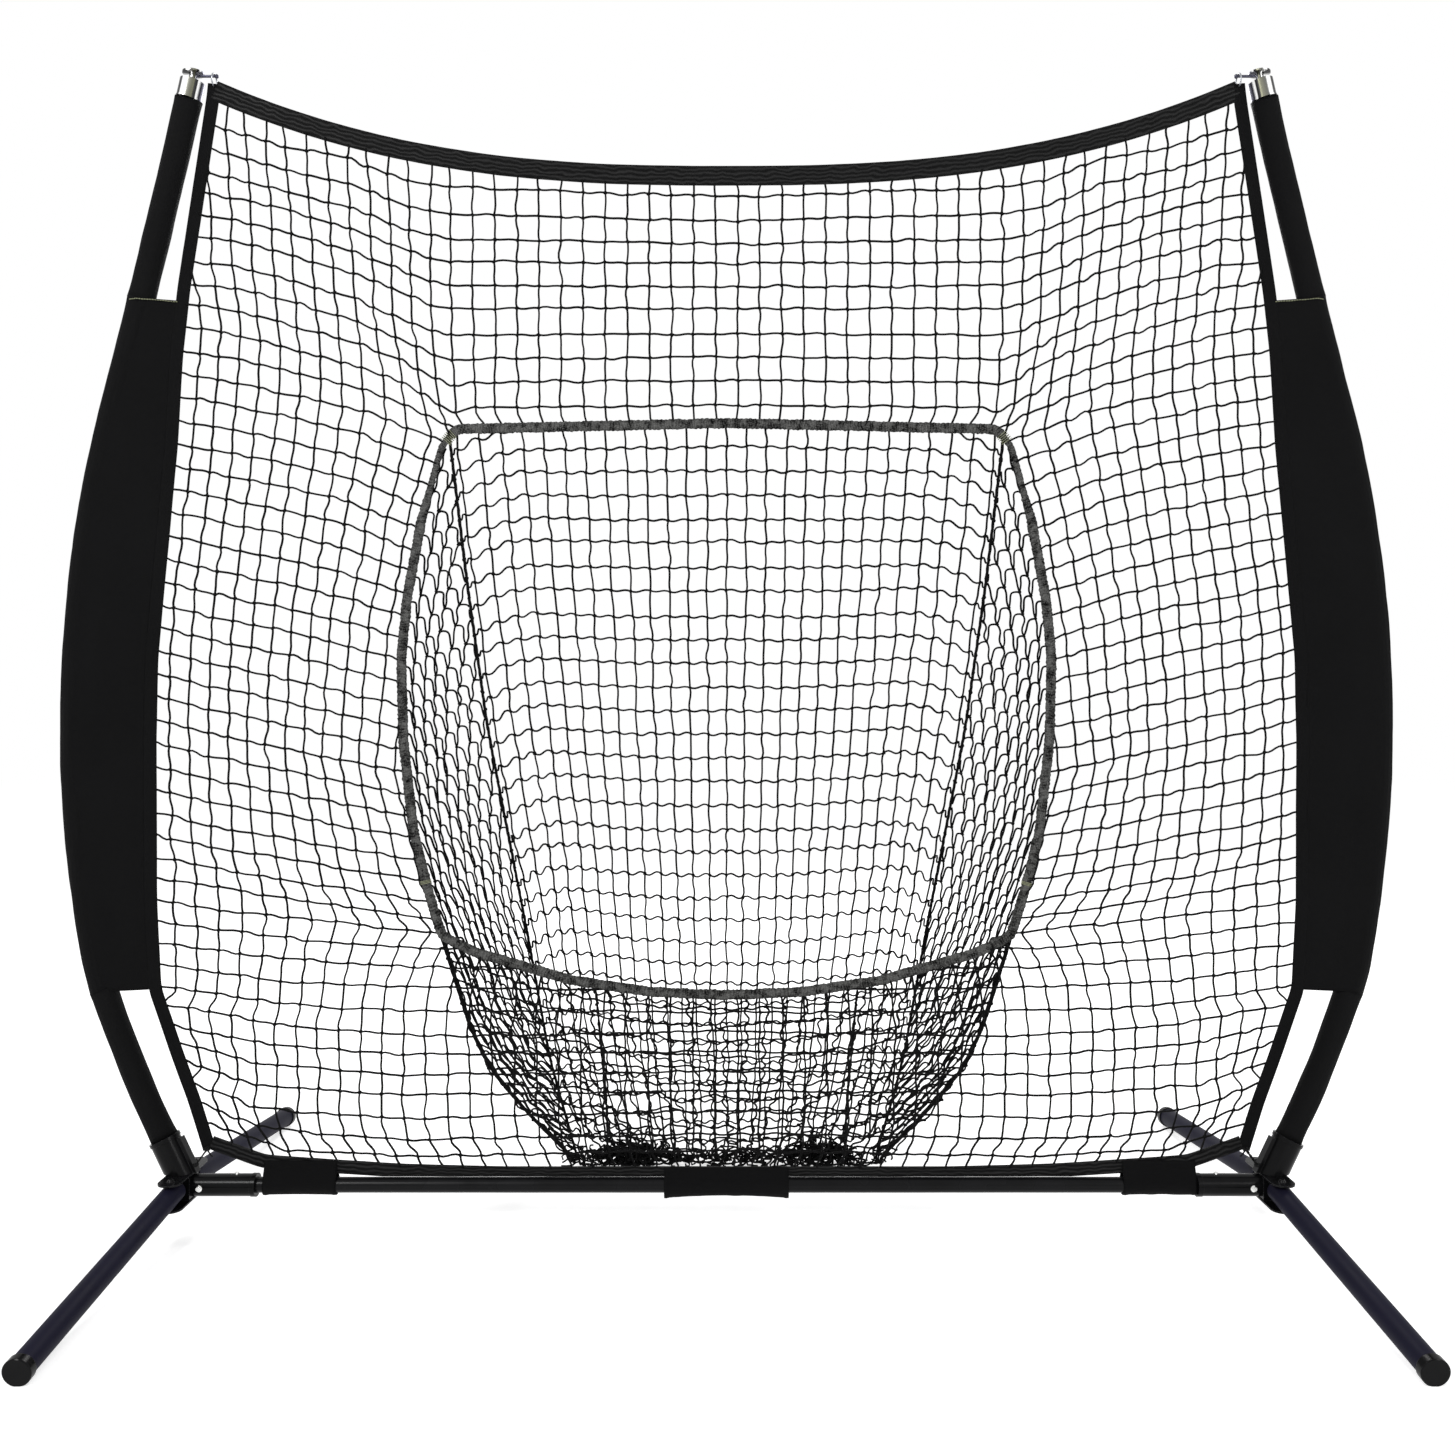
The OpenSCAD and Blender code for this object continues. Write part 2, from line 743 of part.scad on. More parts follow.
module open_skin(grid, thick) {
    rows = len(grid);
    columns = len(grid[0]);
    knots = rows * columns;
    quads = squares(rows, columns);
    flat = concat(
        [for (row = grid) for (p = row) p],
        [for (i = [0:rows - 2], j = [0:columns - 2]) for (p = gap_in(grid, i, j)) p]
    );
    // A strand runs between two knots and has the gap on its other side
    strands = [
        for (c = [0:len(quads) - 1], k = [0:3])
            let(n = (k + 1) % 4)
            [quads[c][k], quads[c][n], knots + 4 * c + n, knots + 4 * c + k]
    ];
    polyhedron(
        points = concat([for (p = flat) p - thick / 2], [for (p = flat) p + thick / 2]),
        faces = concat(
            both_sides(strands, len(flat)),
            edge_walls([for (s = strands) [s[2], s[3]]], len(flat)),
            edge_walls(around(border(rows, columns)), len(flat))
        )
    );
}

module pocket_back() {
    rows = 12;
    columns = 12;
    crown = mouth_top[1] - mouth_half[0][1];
    color(net_black) open_skin([
        for (i = [0:rows])
            let(
                t = depth_of(i, rows),
                edge = on_seam(back_seam, mix(back_seam[0][2], pocket_bottom_z, t)),
                bulge = back_bulge * sin(180 * t)
            )
            [
                for (j = [0:columns])
                    let(u = 2 * j / columns - 1)
                    [
                        u * edge[0],
                        edge[1] + bulge * (1 - u * u),
                        edge[2] + crown * (1 - abs(u)) * (1 - t)
                    ]
            ]
    ], [0, cloth, 0]);
}

module pocket_side(side) {
    rows = 12;
    columns = 4;
    inset = 3;
    color(net_black) on_side(side) skin([
        for (i = [0:rows])
            let(
                t = depth_of(i, rows),
                front = on_seam(front_seam, mix(front_seam[0][2], pocket_bottom_z, t)),
                back = on_seam(back_seam, mix(back_seam[0][2], pocket_bottom_z, t))
            )
            [
                for (j = [0:columns])
                    let(u = j / columns)
                    mix(front, back, u) + [side_bulge * 4 * u * (1 - u) * sin(180 * t) + inset, 0, 0]
            ]
    ], [-cloth, 0, 0]);
}

module pocket_skirt() {
    rows = 10;
    columns = 14;
    low_edge = concat(
        [mouth_bottom],
        [for (i = [mouth_sides - 1:-1:mouth_sides - 4]) mouth_half[i]]
    );
    half = mouth_half[mouth_sides - 4][0];
    color(net_black) skin([
        for (i = [0:rows])
            let(
                t = i / rows,
                edge = on_seam(front_seam, mix(mouth_corner_bottom, pocket_bottom_z, t)),
                middle_y = mix(front_seam[0][1], skirt_bottom_y, t)
            )
            [
                for (j = [0:columns])
                    let(u = 2 * j / columns - 1)
                    [
                        u * edge[0],
                        mix(middle_y, edge[1], pow(abs(u), 3)),
                        mix(lookup(abs(u) * half, low_edge), pocket_bottom_z, t)
                    ]
            ]
    ], [0, cloth, 0]);
}

crossbar(-1);  // crossbar_left
crossbar(1);  // crossbar_right
crossbar_coupler();
crossbar_socket(-1);  // crossbar_socket_left
crossbar_socket(1);  // crossbar_socket_right
corner_bracket(-1);  // corner_bracket_left
corner_bracket(1);  // corner_bracket_right
snap_button(-1);  // snap_button_left
snap_button(1);  // snap_button_right
snap_spring(-1);  // snap_spring_left
snap_spring(1);  // snap_spring_right
socket_bolts();
pivot_bolts();
leg(-1, -1);  // leg_front_left
leg(1, -1);  // leg_front_right
leg(-1, 1);  // leg_rear_left
leg(1, 1);  // leg_rear_right
foot_cap(-1, -1);  // foot_cap_front_left
foot_cap(1, -1);  // foot_cap_front_right
foot_cap(-1, 1);  // foot_cap_rear_left
foot_cap(1, 1);  // foot_cap_rear_right
tie_hooks();
pole_socket(-1);  // pole_socket_left
pole_socket(1);  // pole_socket_right
pole(-1, pole_seat, pole_joints[0]);  // pole_lower_left
pole(-1, pole_joints[0], pole_joints[1]);  // pole_middle_left
pole(-1, pole_joints[1], bow_length);  // pole_upper_left
pole(1, pole_seat, pole_joints[0]);  // pole_lower_right
pole(1, pole_joints[0], pole_joints[1]);  // pole_middle_right
pole(1, pole_joints[1], bow_length);  // pole_upper_right
pole_ferrules();
pole_cap(-1);  // pole_cap_left
pole_cap(1);  // pole_cap_right
corner_rings();
sleeve(-1, panel_to, cap_from);  // upper_sleeve_left
sleeve(1, panel_to, cap_from);  // upper_sleeve_right
sleeve(-1, panel_from, panel_to);  // panel_sleeve_left
sleeve(1, panel_from, panel_to);  // panel_sleeve_right
sleeve(-1, pole_socket_length, panel_from);  // lower_sleeve_left
sleeve(1, pole_socket_length, panel_from);  // lower_sleeve_right
side_panel(-1);  // side_panel_left
side_panel(1);  // side_panel_right
top_webbing();
side_webbing(-1);  // side_webbing_left
side_webbing(1);  // side_webbing_right
bottom_webbing();
net_upper();
net_beside(-1);  // net_left
net_beside(1);  // net_right
net_lower();
rim(corners - high_corner, corners + high_corner);  // rim_top
rim(corners - low_corner, corners - high_corner);  // rim_left
rim(high_corner, low_corner);  // rim_right
rim(low_corner, corners - low_corner);  // rim_bottom
pocket_back();
pocket_side(-1);  // pocket_left
pocket_side(1);  // pocket_right
pocket_skirt();
bar_tabs();
corner_ties();
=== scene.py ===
import math
import random

import bpy
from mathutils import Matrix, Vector, noise


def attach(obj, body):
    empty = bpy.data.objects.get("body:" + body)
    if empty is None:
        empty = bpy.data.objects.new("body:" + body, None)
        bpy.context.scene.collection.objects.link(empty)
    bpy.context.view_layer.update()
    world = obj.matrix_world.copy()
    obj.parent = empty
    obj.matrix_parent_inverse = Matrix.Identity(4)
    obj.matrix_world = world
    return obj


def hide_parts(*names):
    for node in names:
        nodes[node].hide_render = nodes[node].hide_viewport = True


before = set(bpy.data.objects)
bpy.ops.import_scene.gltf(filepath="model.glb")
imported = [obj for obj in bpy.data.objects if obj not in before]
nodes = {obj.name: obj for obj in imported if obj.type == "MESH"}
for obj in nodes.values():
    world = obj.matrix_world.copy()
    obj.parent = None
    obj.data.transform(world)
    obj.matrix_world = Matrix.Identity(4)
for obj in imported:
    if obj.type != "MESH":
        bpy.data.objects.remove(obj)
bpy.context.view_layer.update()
mm = 0.001
print("frame loaded with", len(nodes), "nodes")

# camera, floor and light

shot = {
    "place": (0.002, -2.340, 0.978),  # metres
    "shift": -0.021,  # moves the view down a little, the camera itself is level
    "lens": 31.27,
    "sensor": 36,
}
studio = {
    "floorColour": (0.86, 0.86, 0.86),
    "floorGlow": 0.62,  # lifts the floor to white where it is seen, and lights nothing else
    "floorSize": 24,
    "floorLevel": -0.0006,
    "skyLight": 0.42,
    "aim": (0, 0, 0.9),
    # place, width and power of each lamp
    "lamps": {
        "keyLamp": ((-2.6, -3.4, 3.6), 1.4, 120),
        "fillLamp": ((3.2, -3.0, 2.2), 1.6, 55),
        "backLamp": ((0.4, 3.4, 3.4), 1.8, 90),
    },
}

cameraData = bpy.data.cameras.new("camera")
cameraData.lens = shot["lens"]
cameraData.sensor_width = shot["sensor"]
cameraData.shift_y = shot["shift"]
cameraData.clip_start = 0.05
camera = bpy.data.objects.new("camera", cameraData)
camera.location = shot["place"]
camera.rotation_euler = (math.radians(90), 0, 0)
bpy.context.scene.collection.objects.link(camera)
bpy.context.scene.camera = camera
bpy.context.scene.view_settings.view_transform = "Standard"


def addLamp(name, place, size, power):
    data = bpy.data.lights.new(name, "AREA")
    data.shape = "DISK"
    data.size = size
    data.energy = power
    lamp = bpy.data.objects.new(name, data)
    lamp.location = place
    heading = Vector(studio["aim"]) - Vector(place)
    lamp.rotation_euler = heading.to_track_quat("-Z", "Y").to_euler()
    bpy.context.scene.collection.objects.link(lamp)


for name, (place, size, power) in studio["lamps"].items():
    addLamp(name, place, size, power)

# shader helpers


def link(tree, source, target):
    tree.links.new(source, target)


def shaderNode(tree, kind, **values):
    made = tree.nodes.new(kind)
    for key, value in values.items():
        if hasattr(made, key):
            setattr(made, key, value)
        else:
            made.inputs[key.replace("_", " ")].default_value = value
    return made


def maths(tree, operation, first, second=None, clamp=False):
    made = tree.nodes.new("ShaderNodeMath")
    made.operation = operation
    made.use_clamp = clamp
    for socket, value in zip(made.inputs, (first, second)):
        if value is None:
            continue
        if isinstance(value, (int, float)):
            socket.default_value = value
        else:
            link(tree, value, socket)
    return made.outputs[0]


def mixColours(tree, factor, first, second):
    made = tree.nodes.new("ShaderNodeMix")
    made.data_type = "RGBA"
    # sockets 6 and 7 are the two colours, and output 2 the mixed one
    for at, value in ((0, factor), (6, first), (7, second)):
        socket = made.inputs[at]
        if hasattr(value, "links"):
            link(tree, value, socket)
        else:
            socket.default_value = value if isinstance(value, (int, float)) else (*value[:3], 1)
    return made.outputs[2]


def newGroup(name, inputs, outputs):
    group = bpy.data.node_groups.new(name, "ShaderNodeTree")
    for label, kind, value in inputs:
        socket = group.interface.new_socket(label, in_out="INPUT", socket_type=kind)
        if value is not None:
            socket.default_value = value
    for label, kind in outputs:
        group.interface.new_socket(label, in_out="OUTPUT", socket_type=kind)
    return group, group.nodes.new("NodeGroupInput"), group.nodes.new("NodeGroupOutput")


def makeMottle():
    # cloudy change of colour and roughness with a fine grain on top
    cloudShare, grainShare = 0.65, 0.35
    group, given, out = newGroup(
        "mottle",
        [
            ("Dark", "NodeSocketColor", (0.01, 0.01, 0.01, 1)),
            ("Light", "NodeSocketColor", (0.03, 0.03, 0.03, 1)),
            ("Cloud Scale", "NodeSocketFloat", 9.0),
            ("Grain Scale", "NodeSocketFloat", 600.0),
            ("Spread", "NodeSocketFloat", 0.2),
            ("Roughness Low", "NodeSocketFloat", 0.4),
            ("Roughness High", "NodeSocketFloat", 0.6),
        ],
        [
            ("Color", "NodeSocketColor"),
            ("Roughness", "NodeSocketFloat"),
            ("Height", "NodeSocketFloat"),
        ],
    )
    where = group.nodes.new("ShaderNodeTexCoord")
    cloud = shaderNode(group, "ShaderNodeTexNoise", Detail=3.0)
    grain = shaderNode(group, "ShaderNodeTexNoise", Detail=2.0)
    for made, label in ((cloud, "Cloud Scale"), (grain, "Grain Scale")):
        link(group, where.outputs["Object"], made.inputs["Vector"])
        link(group, given.outputs[label], made.inputs["Scale"])
    both = maths(
        group,
        "ADD",
        maths(group, "MULTIPLY", cloud.outputs["Fac"], cloudShare),
        maths(group, "MULTIPLY", grain.outputs["Fac"], grainShare),
    )
    ramp = group.nodes.new("ShaderNodeMapRange")
    link(group, both, ramp.inputs["Value"])
    # a small spread round the middle gives a hard change from dark to light
    for operation, end in (("SUBTRACT", "From Min"), ("ADD", "From Max")):
        link(group, maths(group, operation, 0.5, given.outputs["Spread"]), ramp.inputs[end])
    colour = mixColours(group, ramp.outputs[0], given.outputs["Dark"], given.outputs["Light"])
    rough = shaderNode(group, "ShaderNodeMapRange", From_Min=0.3, From_Max=0.7)
    link(group, cloud.outputs["Fac"], rough.inputs["Value"])
    link(group, given.outputs["Roughness Low"], rough.inputs["To Min"])
    link(group, given.outputs["Roughness High"], rough.inputs["To Max"])
    link(group, colour, out.inputs["Color"])
    link(group, rough.outputs[0], out.inputs["Roughness"])
    link(group, grain.outputs["Fac"], out.inputs["Height"])
    return group


def makeWeave():
    # two sets of threads that cross each other
    group, given, out = newGroup(
        "weave",
        [
            ("Vector", "NodeSocketVector", None),
            ("Across", "NodeSocketFloat", 500.0),
            ("Along", "NodeSocketFloat", 500.0),
            ("Wander", "NodeSocketFloat", 1.5),
        ],
        [("Height", "NodeSocketFloat"), ("Mask", "NodeSocketFloat")],
    )
    waves = []
    for direction, label in (("X", "Across"), ("Y", "Along")):
        wave = shaderNode(group, "ShaderNodeTexWave", bands_direction=direction, Detail=1.0)
        link(group, given.outputs["Vector"], wave.inputs["Vector"])
        link(group, given.outputs[label], wave.inputs["Scale"])
        link(group, given.outputs["Wander"], wave.inputs["Distortion"])
        waves.append(wave.outputs["Fac"])
    link(group, maths(group, "MAXIMUM", *waves), out.inputs["Height"])
    link(group, maths(group, "MULTIPLY", *waves), out.inputs["Mask"])
    return group


def makeEdgeWear():
    # finds worn edges where a rounded normal departs from the true one
    group, given, out = newGroup(
        "edgeWear",
        [
            ("Radius", "NodeSocketFloat", 0.0015),
            ("Breakup", "NodeSocketFloat", 60.0),
            ("Amount", "NodeSocketFloat", 1.0),
        ],
        [("Mask", "NodeSocketFloat"), ("Normal", "NodeSocketVector")],
    )
    rounded = group.nodes.new("ShaderNodeBevel")
    rounded.samples = 4
    link(group, given.outputs["Radius"], rounded.inputs["Radius"])
    true = group.nodes.new("ShaderNodeNewGeometry")
    dot = shaderNode(group, "ShaderNodeVectorMath", operation="DOT_PRODUCT")
    link(group, rounded.outputs[0], dot.inputs[0])
    link(group, true.outputs["Normal"], dot.inputs[1])
    away = maths(group, "SUBTRACT", 1.0, dot.outputs["Value"])
    away = maths(group, "MULTIPLY", away, 8.0)  # the two normals differ by little
    where = group.nodes.new("ShaderNodeTexCoord")
    patchy = shaderNode(group, "ShaderNodeTexNoise", Detail=3.0)
    link(group, where.outputs["Object"], patchy.inputs["Vector"])
    link(group, given.outputs["Breakup"], patchy.inputs["Scale"])
    mask = maths(
        group,
        "MULTIPLY",
        maths(group, "MULTIPLY", away, patchy.outputs["Fac"]),
        given.outputs["Amount"],
        clamp=True,
    )
    link(group, mask, out.inputs["Mask"])
    link(group, rounded.outputs[0], out.inputs["Normal"])
    return group


mottle, weave, edgeWear = makeMottle(), makeWeave(), makeEdgeWear()


def placeGroup(tree, group, **values):
    made = tree.nodes.new("ShaderNodeGroup")
    made.node_tree = group
    for key, value in values.items():
        socket = made.inputs[key.replace("_", " ")]
        socket.default_value = (*value, 1) if isinstance(value, tuple) else value
    return made


def newMaterial(name, shader=None):
    material = bpy.data.materials.new(name)
    material.use_nodes = True
    tree = material.node_tree
    surface = tree.nodes["Principled BSDF"]
    for key, value in (shader or {}).items():
        surface.inputs[key].default_value = value
    return material, tree, surface


def bumpInto(tree, surface, height, distance, strength=1.0, normal=None):
    bump = shaderNode(tree, "ShaderNodeBump", Strength=strength, Distance=distance)
    link(tree, height, bump.inputs["Height"])
    if normal is not None:
        link(tree, normal, bump.inputs["Normal"])
    link(tree, bump.outputs[0], surface.inputs["Normal"])


def hardFinish(name, look):
    # paint, plastic or bare metal with soft worn edges
    material, tree, surface = newMaterial(name, look["shader"])
    base = placeGroup(tree, mottle, **look["mottle"])
    wear = placeGroup(tree, edgeWear, **look["wear"])
    colour = mixColours(tree, wear.outputs["Mask"], base.outputs["Color"], look["bare"])
    link(tree, colour, surface.inputs["Base Color"])
    link(tree, base.outputs["Roughness"], surface.inputs["Roughness"])
    bumpInto(tree, surface, base.outputs["Height"], look["grain"], 0.5, wear.outputs["Normal"])
    return material


def clothFinish(name, look):
    material, tree, surface = newMaterial(name, look["shader"])
    where = tree.nodes.new("ShaderNodeTexCoord")
    threads = placeGroup(tree, weave, **look["weave"])
    link(tree, where.outputs[look["coordinates"]], threads.inputs["Vector"])
    base = placeGroup(tree, mottle, **look["mottle"])
    # a lighter colour is painted over the weave's mask: threads on most cloths, painted sheen
    # streaks on the webbing
    colour = mixColours(
        tree,
        maths(tree, "MULTIPLY", threads.outputs["Mask"], look["threadAndSheenShow"]),
        base.outputs["Color"],
        look["threadAndSheenColour"],
    )
    link(tree, colour, surface.inputs["Base Color"])
    link(tree, base.outputs["Roughness"], surface.inputs["Roughness"])
    bumpInto(tree, surface, threads.outputs["Height"], look["relief"])
    return material


chromeWithPaintedReflections = {
    "lean": 0.2208,  # radians, turns the right cap upright
    "axis": 1.4277,  # metres from the middle to the line round which it is then round
    "smudge": {"Cloud_Scale": 30.0, "Grain_Scale": 2200.0,
               "Roughness_Low": 0.28, "Roughness_High": 0.4},
    # how far round the cap from its inner side, 0 to 1, and the colour there: painted reflections,
    # the light and dark bands of a studio painted into the metal's colour
    "paintedReflectionBands": [(0.0, (0.05, 0.05, 0.07)), (0.06, (0.12, 0.12, 0.16)), (0.08, (0.95, 0.95, 0.94)),
              (0.105, (0.90, 0.90, 0.89)), (0.115, (0.01, 0.01, 0.01)), (0.148, (0.02, 0.02, 0.02)),
              (0.16, (0.13, 0.13, 0.09)), (0.20, (0.20, 0.20, 0.16)), (0.25, (0.14, 0.14, 0.135)),
              (0.27, (0.92, 0.92, 0.91)), (0.315, (0.95, 0.95, 0.94)), (0.335, (0.04, 0.04, 0.04)),
              (0.44, (0.03, 0.03, 0.03)), (0.55, (0.85, 0.85, 0.84)), (0.70, (0.30, 0.30, 0.28)),
              (0.86, (0.80, 0.80, 0.79)), (0.94, (0.05, 0.05, 0.07))],
}


def paintedReflectionChromeFinish(name):
    # polished metal with painted reflections: bands of light and dark painted into its colour,
    # running up the cap, the same on both sides
    material, tree, surface = newMaterial(name, {"Metallic": 1.0})
    where = tree.nodes.new("ShaderNodeTexCoord")
    place = tree.nodes.new("ShaderNodeSeparateXYZ")
    link(tree, where.outputs["Object"], place.inputs[0])
    folded = tree.nodes.new("ShaderNodeCombineXYZ")
    link(tree, maths(tree, "ABSOLUTE", place.outputs[0]), folded.inputs[0])
    link(tree, place.outputs[1], folded.inputs[1])
    link(tree, place.outputs[2], folded.inputs[2])
    upright = shaderNode(
        tree, "ShaderNodeVectorRotate", rotation_type="Y_AXIS", Angle=chromeWithPaintedReflections["lean"]
    )
    link(tree, folded.outputs[0], upright.inputs["Vector"])
    turned = tree.nodes.new("ShaderNodeSeparateXYZ")
    link(tree, upright.outputs[0], turned.inputs[0])
    outward = maths(tree, "SUBTRACT", turned.outputs[0], chromeWithPaintedReflections["axis"])
    angle = maths(tree, "ARCTAN2", maths(tree, "MULTIPLY", turned.outputs[1], -1.0), outward)
    share = maths(tree, "ADD", maths(tree, "MULTIPLY", angle, -0.5 / math.pi), 0.5)
    # this ramp paints the reflections, light and dark bands, into the base colour
    ramp = tree.nodes.new("ShaderNodeValToRGB")
    link(tree, share, ramp.inputs[0])
    stops = ramp.color_ramp.elements
    for i, (at, colour) in enumerate(chromeWithPaintedReflections["paintedReflectionBands"]):
        stop = stops[i] if i < 2 else stops.new(at)
        stop.position = at
        stop.color = (*colour, 1)
    smudge = placeGroup(tree, mottle, **chromeWithPaintedReflections["smudge"])
    link(tree, ramp.outputs[0], surface.inputs["Base Color"])
    link(tree, smudge.outputs["Roughness"], surface.inputs["Roughness"])
    return material


# hard finishes: colours and their grain, the worn edges, the relief of the grain and the gloss

finishes = {
    "blackSteel": {
        "mottle": {"Dark": (0.003, 0.003, 0.0033), "Light": (0.0065, 0.0065, 0.0074),
                   "Cloud_Scale": 14.0, "Grain_Scale": 1500.0,
                   "Roughness_Low": 0.2, "Roughness_High": 0.32},
        "wear": {"Radius": 0.0012, "Breakup": 90.0, "Amount": 0.35},
        "bare": (0.10, 0.10, 0.105),
        "grain": 0.00004,
        "shader": {"Specular IOR Level": 0.11},
    },
    "plainSteel": {
        "mottle": {"Dark": (0.30, 0.31, 0.33), "Light": (0.45, 0.46, 0.48),
                   "Cloud_Scale": 20.0, "Grain_Scale": 1800.0,
                   "Roughness_Low": 0.3, "Roughness_High": 0.45},
        "wear": {"Radius": 0.0006, "Breakup": 120.0, "Amount": 0.3},
        "bare": (0.62, 0.62, 0.62),
        "grain": 0.00002,
        "shader": {"Metallic": 1.0},
    },
    "mouldedBlack": {
        "mottle": {"Dark": (0.003, 0.003, 0.0032), "Light": (0.006, 0.006, 0.0066),
                   "Cloud_Scale": 24.0, "Grain_Scale": 2600.0,
                   "Roughness_Low": 0.16, "Roughness_High": 0.26},
        "wear": {"Radius": 0.0015, "Breakup": 70.0, "Amount": 0.2},
        "bare": (0.05, 0.05, 0.052),
        "grain": 0.00003,
        "shader": {"Specular IOR Level": 0.08},
    },
    "brightMetal": {
        "mottle": {"Dark": (0.60, 0.60, 0.59), "Light": (0.82, 0.82, 0.80),
                   "Cloud_Scale": 30.0, "Grain_Scale": 2200.0,
                   "Roughness_Low": 0.08, "Roughness_High": 0.2},
        "wear": {"Radius": 0.0006, "Breakup": 150.0, "Amount": 0.3},
        "bare": (0.9, 0.9, 0.88),
        "grain": 0.00001,
        "shader": {"Metallic": 1.0},
    },
    "navySteel": {
        "mottle": {"Dark": (0.0085, 0.0080, 0.0165), "Light": (0.0135, 0.0130, 0.0280),
                   "Cloud_Scale": 7.0, "Grain_Scale": 1700.0,
                   "Roughness_Low": 0.46, "Roughness_High": 0.6},
        "wear": {"Radius": 0.001, "Breakup": 80.0, "Amount": 0.3},
        "bare": (0.10, 0.10, 0.12),
        "grain": 0.00004,
        "shader": {"Specular IOR Level": 0.04},
    },
    "poleGrey": {
        "mottle": {"Dark": (0.018, 0.019, 0.020), "Light": (0.032, 0.033, 0.035),
                   "Cloud_Scale": 12.0, "Grain_Scale": 1900.0,
                   "Roughness_Low": 0.35, "Roughness_High": 0.5},
        "wear": {"Radius": 0.0008, "Breakup": 80.0, "Amount": 0.2},
        "bare": (0.12, 0.12, 0.12),
        "grain": 0.00003,
        "shader": {"Specular IOR Level": 0.5},
    },
}

# cloths and twines: the same, and the weave with the colour of its threads; on the webbing that
# lighter colour is painted sheen, streaks of highlight along the strap

cloths = {
    "panelFabric": {
        "mottle": {"Dark": (0.0030, 0.0030, 0.0032), "Light": (0.0068, 0.0068, 0.0072),
                   "Cloud_Scale": 6.0, "Grain_Scale": 900.0,
                   "Roughness_Low": 0.6, "Roughness_High": 0.75},
        "weave": {"Across": 420.0, "Along": 420.0, "Wander": 0.8},
        "threadAndSheenColour": (0.014, 0.014, 0.0145), "threadAndSheenShow": 0.4,
        "coordinates": "UV", "relief": 0.00035,
        "shader": {"Specular IOR Level": 0.05},
    },
    "webbing": {
        "mottle": {"Dark": (0.0025, 0.0025, 0.0026), "Light": (0.0065, 0.0065, 0.0068),
                   "Cloud_Scale": 16.0, "Grain_Scale": 1100.0,
                   "Roughness_Low": 0.42, "Roughness_High": 0.58},
        "weave": {"Across": 40.0, "Along": 520.0, "Wander": 5.0},
        # the lighter threads here are painted sheen: streaks of highlight running along the strap
        "threadAndSheenColour": (0.045, 0.045, 0.045), "threadAndSheenShow": 0.6,
        "coordinates": "UV", "relief": 0.0006,
        "shader": {"Specular IOR Level": 0.09},
    },
    "rimBinding": {
        "mottle": {"Dark": (0.002, 0.002, 0.002), "Light": (0.100, 0.100, 0.097),
                   "Cloud_Scale": 75.0, "Grain_Scale": 420.0, "Spread": 0.08,
                   "Roughness_Low": 0.75, "Roughness_High": 0.95},
        "weave": {"Across": 110.0, "Along": 60.0, "Wander": 9.0},
        "threadAndSheenColour": (0.30, 0.30, 0.29), "threadAndSheenShow": 0.25,
        "coordinates": "UV", "relief": 0.0009,
        "shader": {"Specular IOR Level": 0.03},
    },
    "netTwine": {
        "mottle": {"Dark": (0.0025, 0.0025, 0.0027), "Light": (0.0075, 0.0075, 0.0078),
                   "Cloud_Scale": 40.0, "Grain_Scale": 1500.0,
                   "Roughness_Low": 0.6, "Roughness_High": 0.8},
        "weave": {"Across": 900.0, "Along": 900.0, "Wander": 2.0},
        "threadAndSheenColour": (0.018, 0.018, 0.018), "threadAndSheenShow": 0.4,
        "coordinates": "Object", "relief": 0.0002,
        "shader": {"Specular IOR Level": 0.05},
    },
    "paleTwine": {
        "mottle": {"Dark": (0.16, 0.17, 0.09), "Light": (0.42, 0.44, 0.28),
                   "Cloud_Scale": 60.0, "Grain_Scale": 1500.0,
                   "Roughness_Low": 0.6, "Roughness_High": 0.8},
        "weave": {"Across": 900.0, "Along": 900.0, "Wander": 2.0},
        "threadAndSheenColour": (0.55, 0.56, 0.40), "threadAndSheenShow": 0.5,
        "coordinates": "Object", "relief": 0.0002,
        "shader": {"Specular IOR Level": 0.3},
    },
}
materials = {name: hardFinish(name, look) for name, look in finishes.items()}
materials.update({name: clothFinish(name, look) for name, look in cloths.items()})
# chrome whose colour holds painted reflections
materials["chromeWithPaintedReflections"] = paintedReflectionChromeFinish("chromeWithPaintedReflections")


def whereSeen(tree):
    # 1 where the camera looks, straight or by reflection, and 0 for the light on the object
    rays = tree.nodes.new("ShaderNodeLightPath")
    bent = maths(
        tree, "MAXIMUM", rays.outputs["Is Glossy Ray"], rays.outputs["Is Transmission Ray"]
    )
    return maths(tree, "MAXIMUM", rays.outputs["Is Camera Ray"], bent)


def makeFloor():
    level = (0, 0, studio["floorLevel"])
    bpy.ops.mesh.primitive_plane_add(size=studio["floorSize"], location=level)
    floor = bpy.context.object
    floor.name = "floor"
    material, tree, surface = newMaterial("floorPaper", {
        "Base Color": (*studio["floorColour"], 1),
        "Roughness": 0.95,
        "Specular IOR Level": 0.1,
        "Emission Color": (1, 1, 1, 1),
    })
    glow = maths(tree, "MULTIPLY", whereSeen(tree), studio["floorGlow"])
    link(tree, glow, surface.inputs["Emission Strength"])
    floor.data.materials.append(material)


def makeSky():
    world = bpy.data.worlds.new("sky")
    world.use_nodes = True
    tree = world.node_tree
    background = tree.nodes["Background"]
    background.inputs["Color"].default_value = (1, 1, 1, 1)
    lift = maths(tree, "MULTIPLY", whereSeen(tree), 1 - studio["skyLight"])
    link(tree, maths(tree, "ADD", lift, studio["skyLight"]), background.inputs["Strength"])
    bpy.context.scene.world = world


makeFloor()
makeSky()
print("camera, light and materials made")

# mesh helpers


def mix(a, b, t):
    return a + (b - a) * t


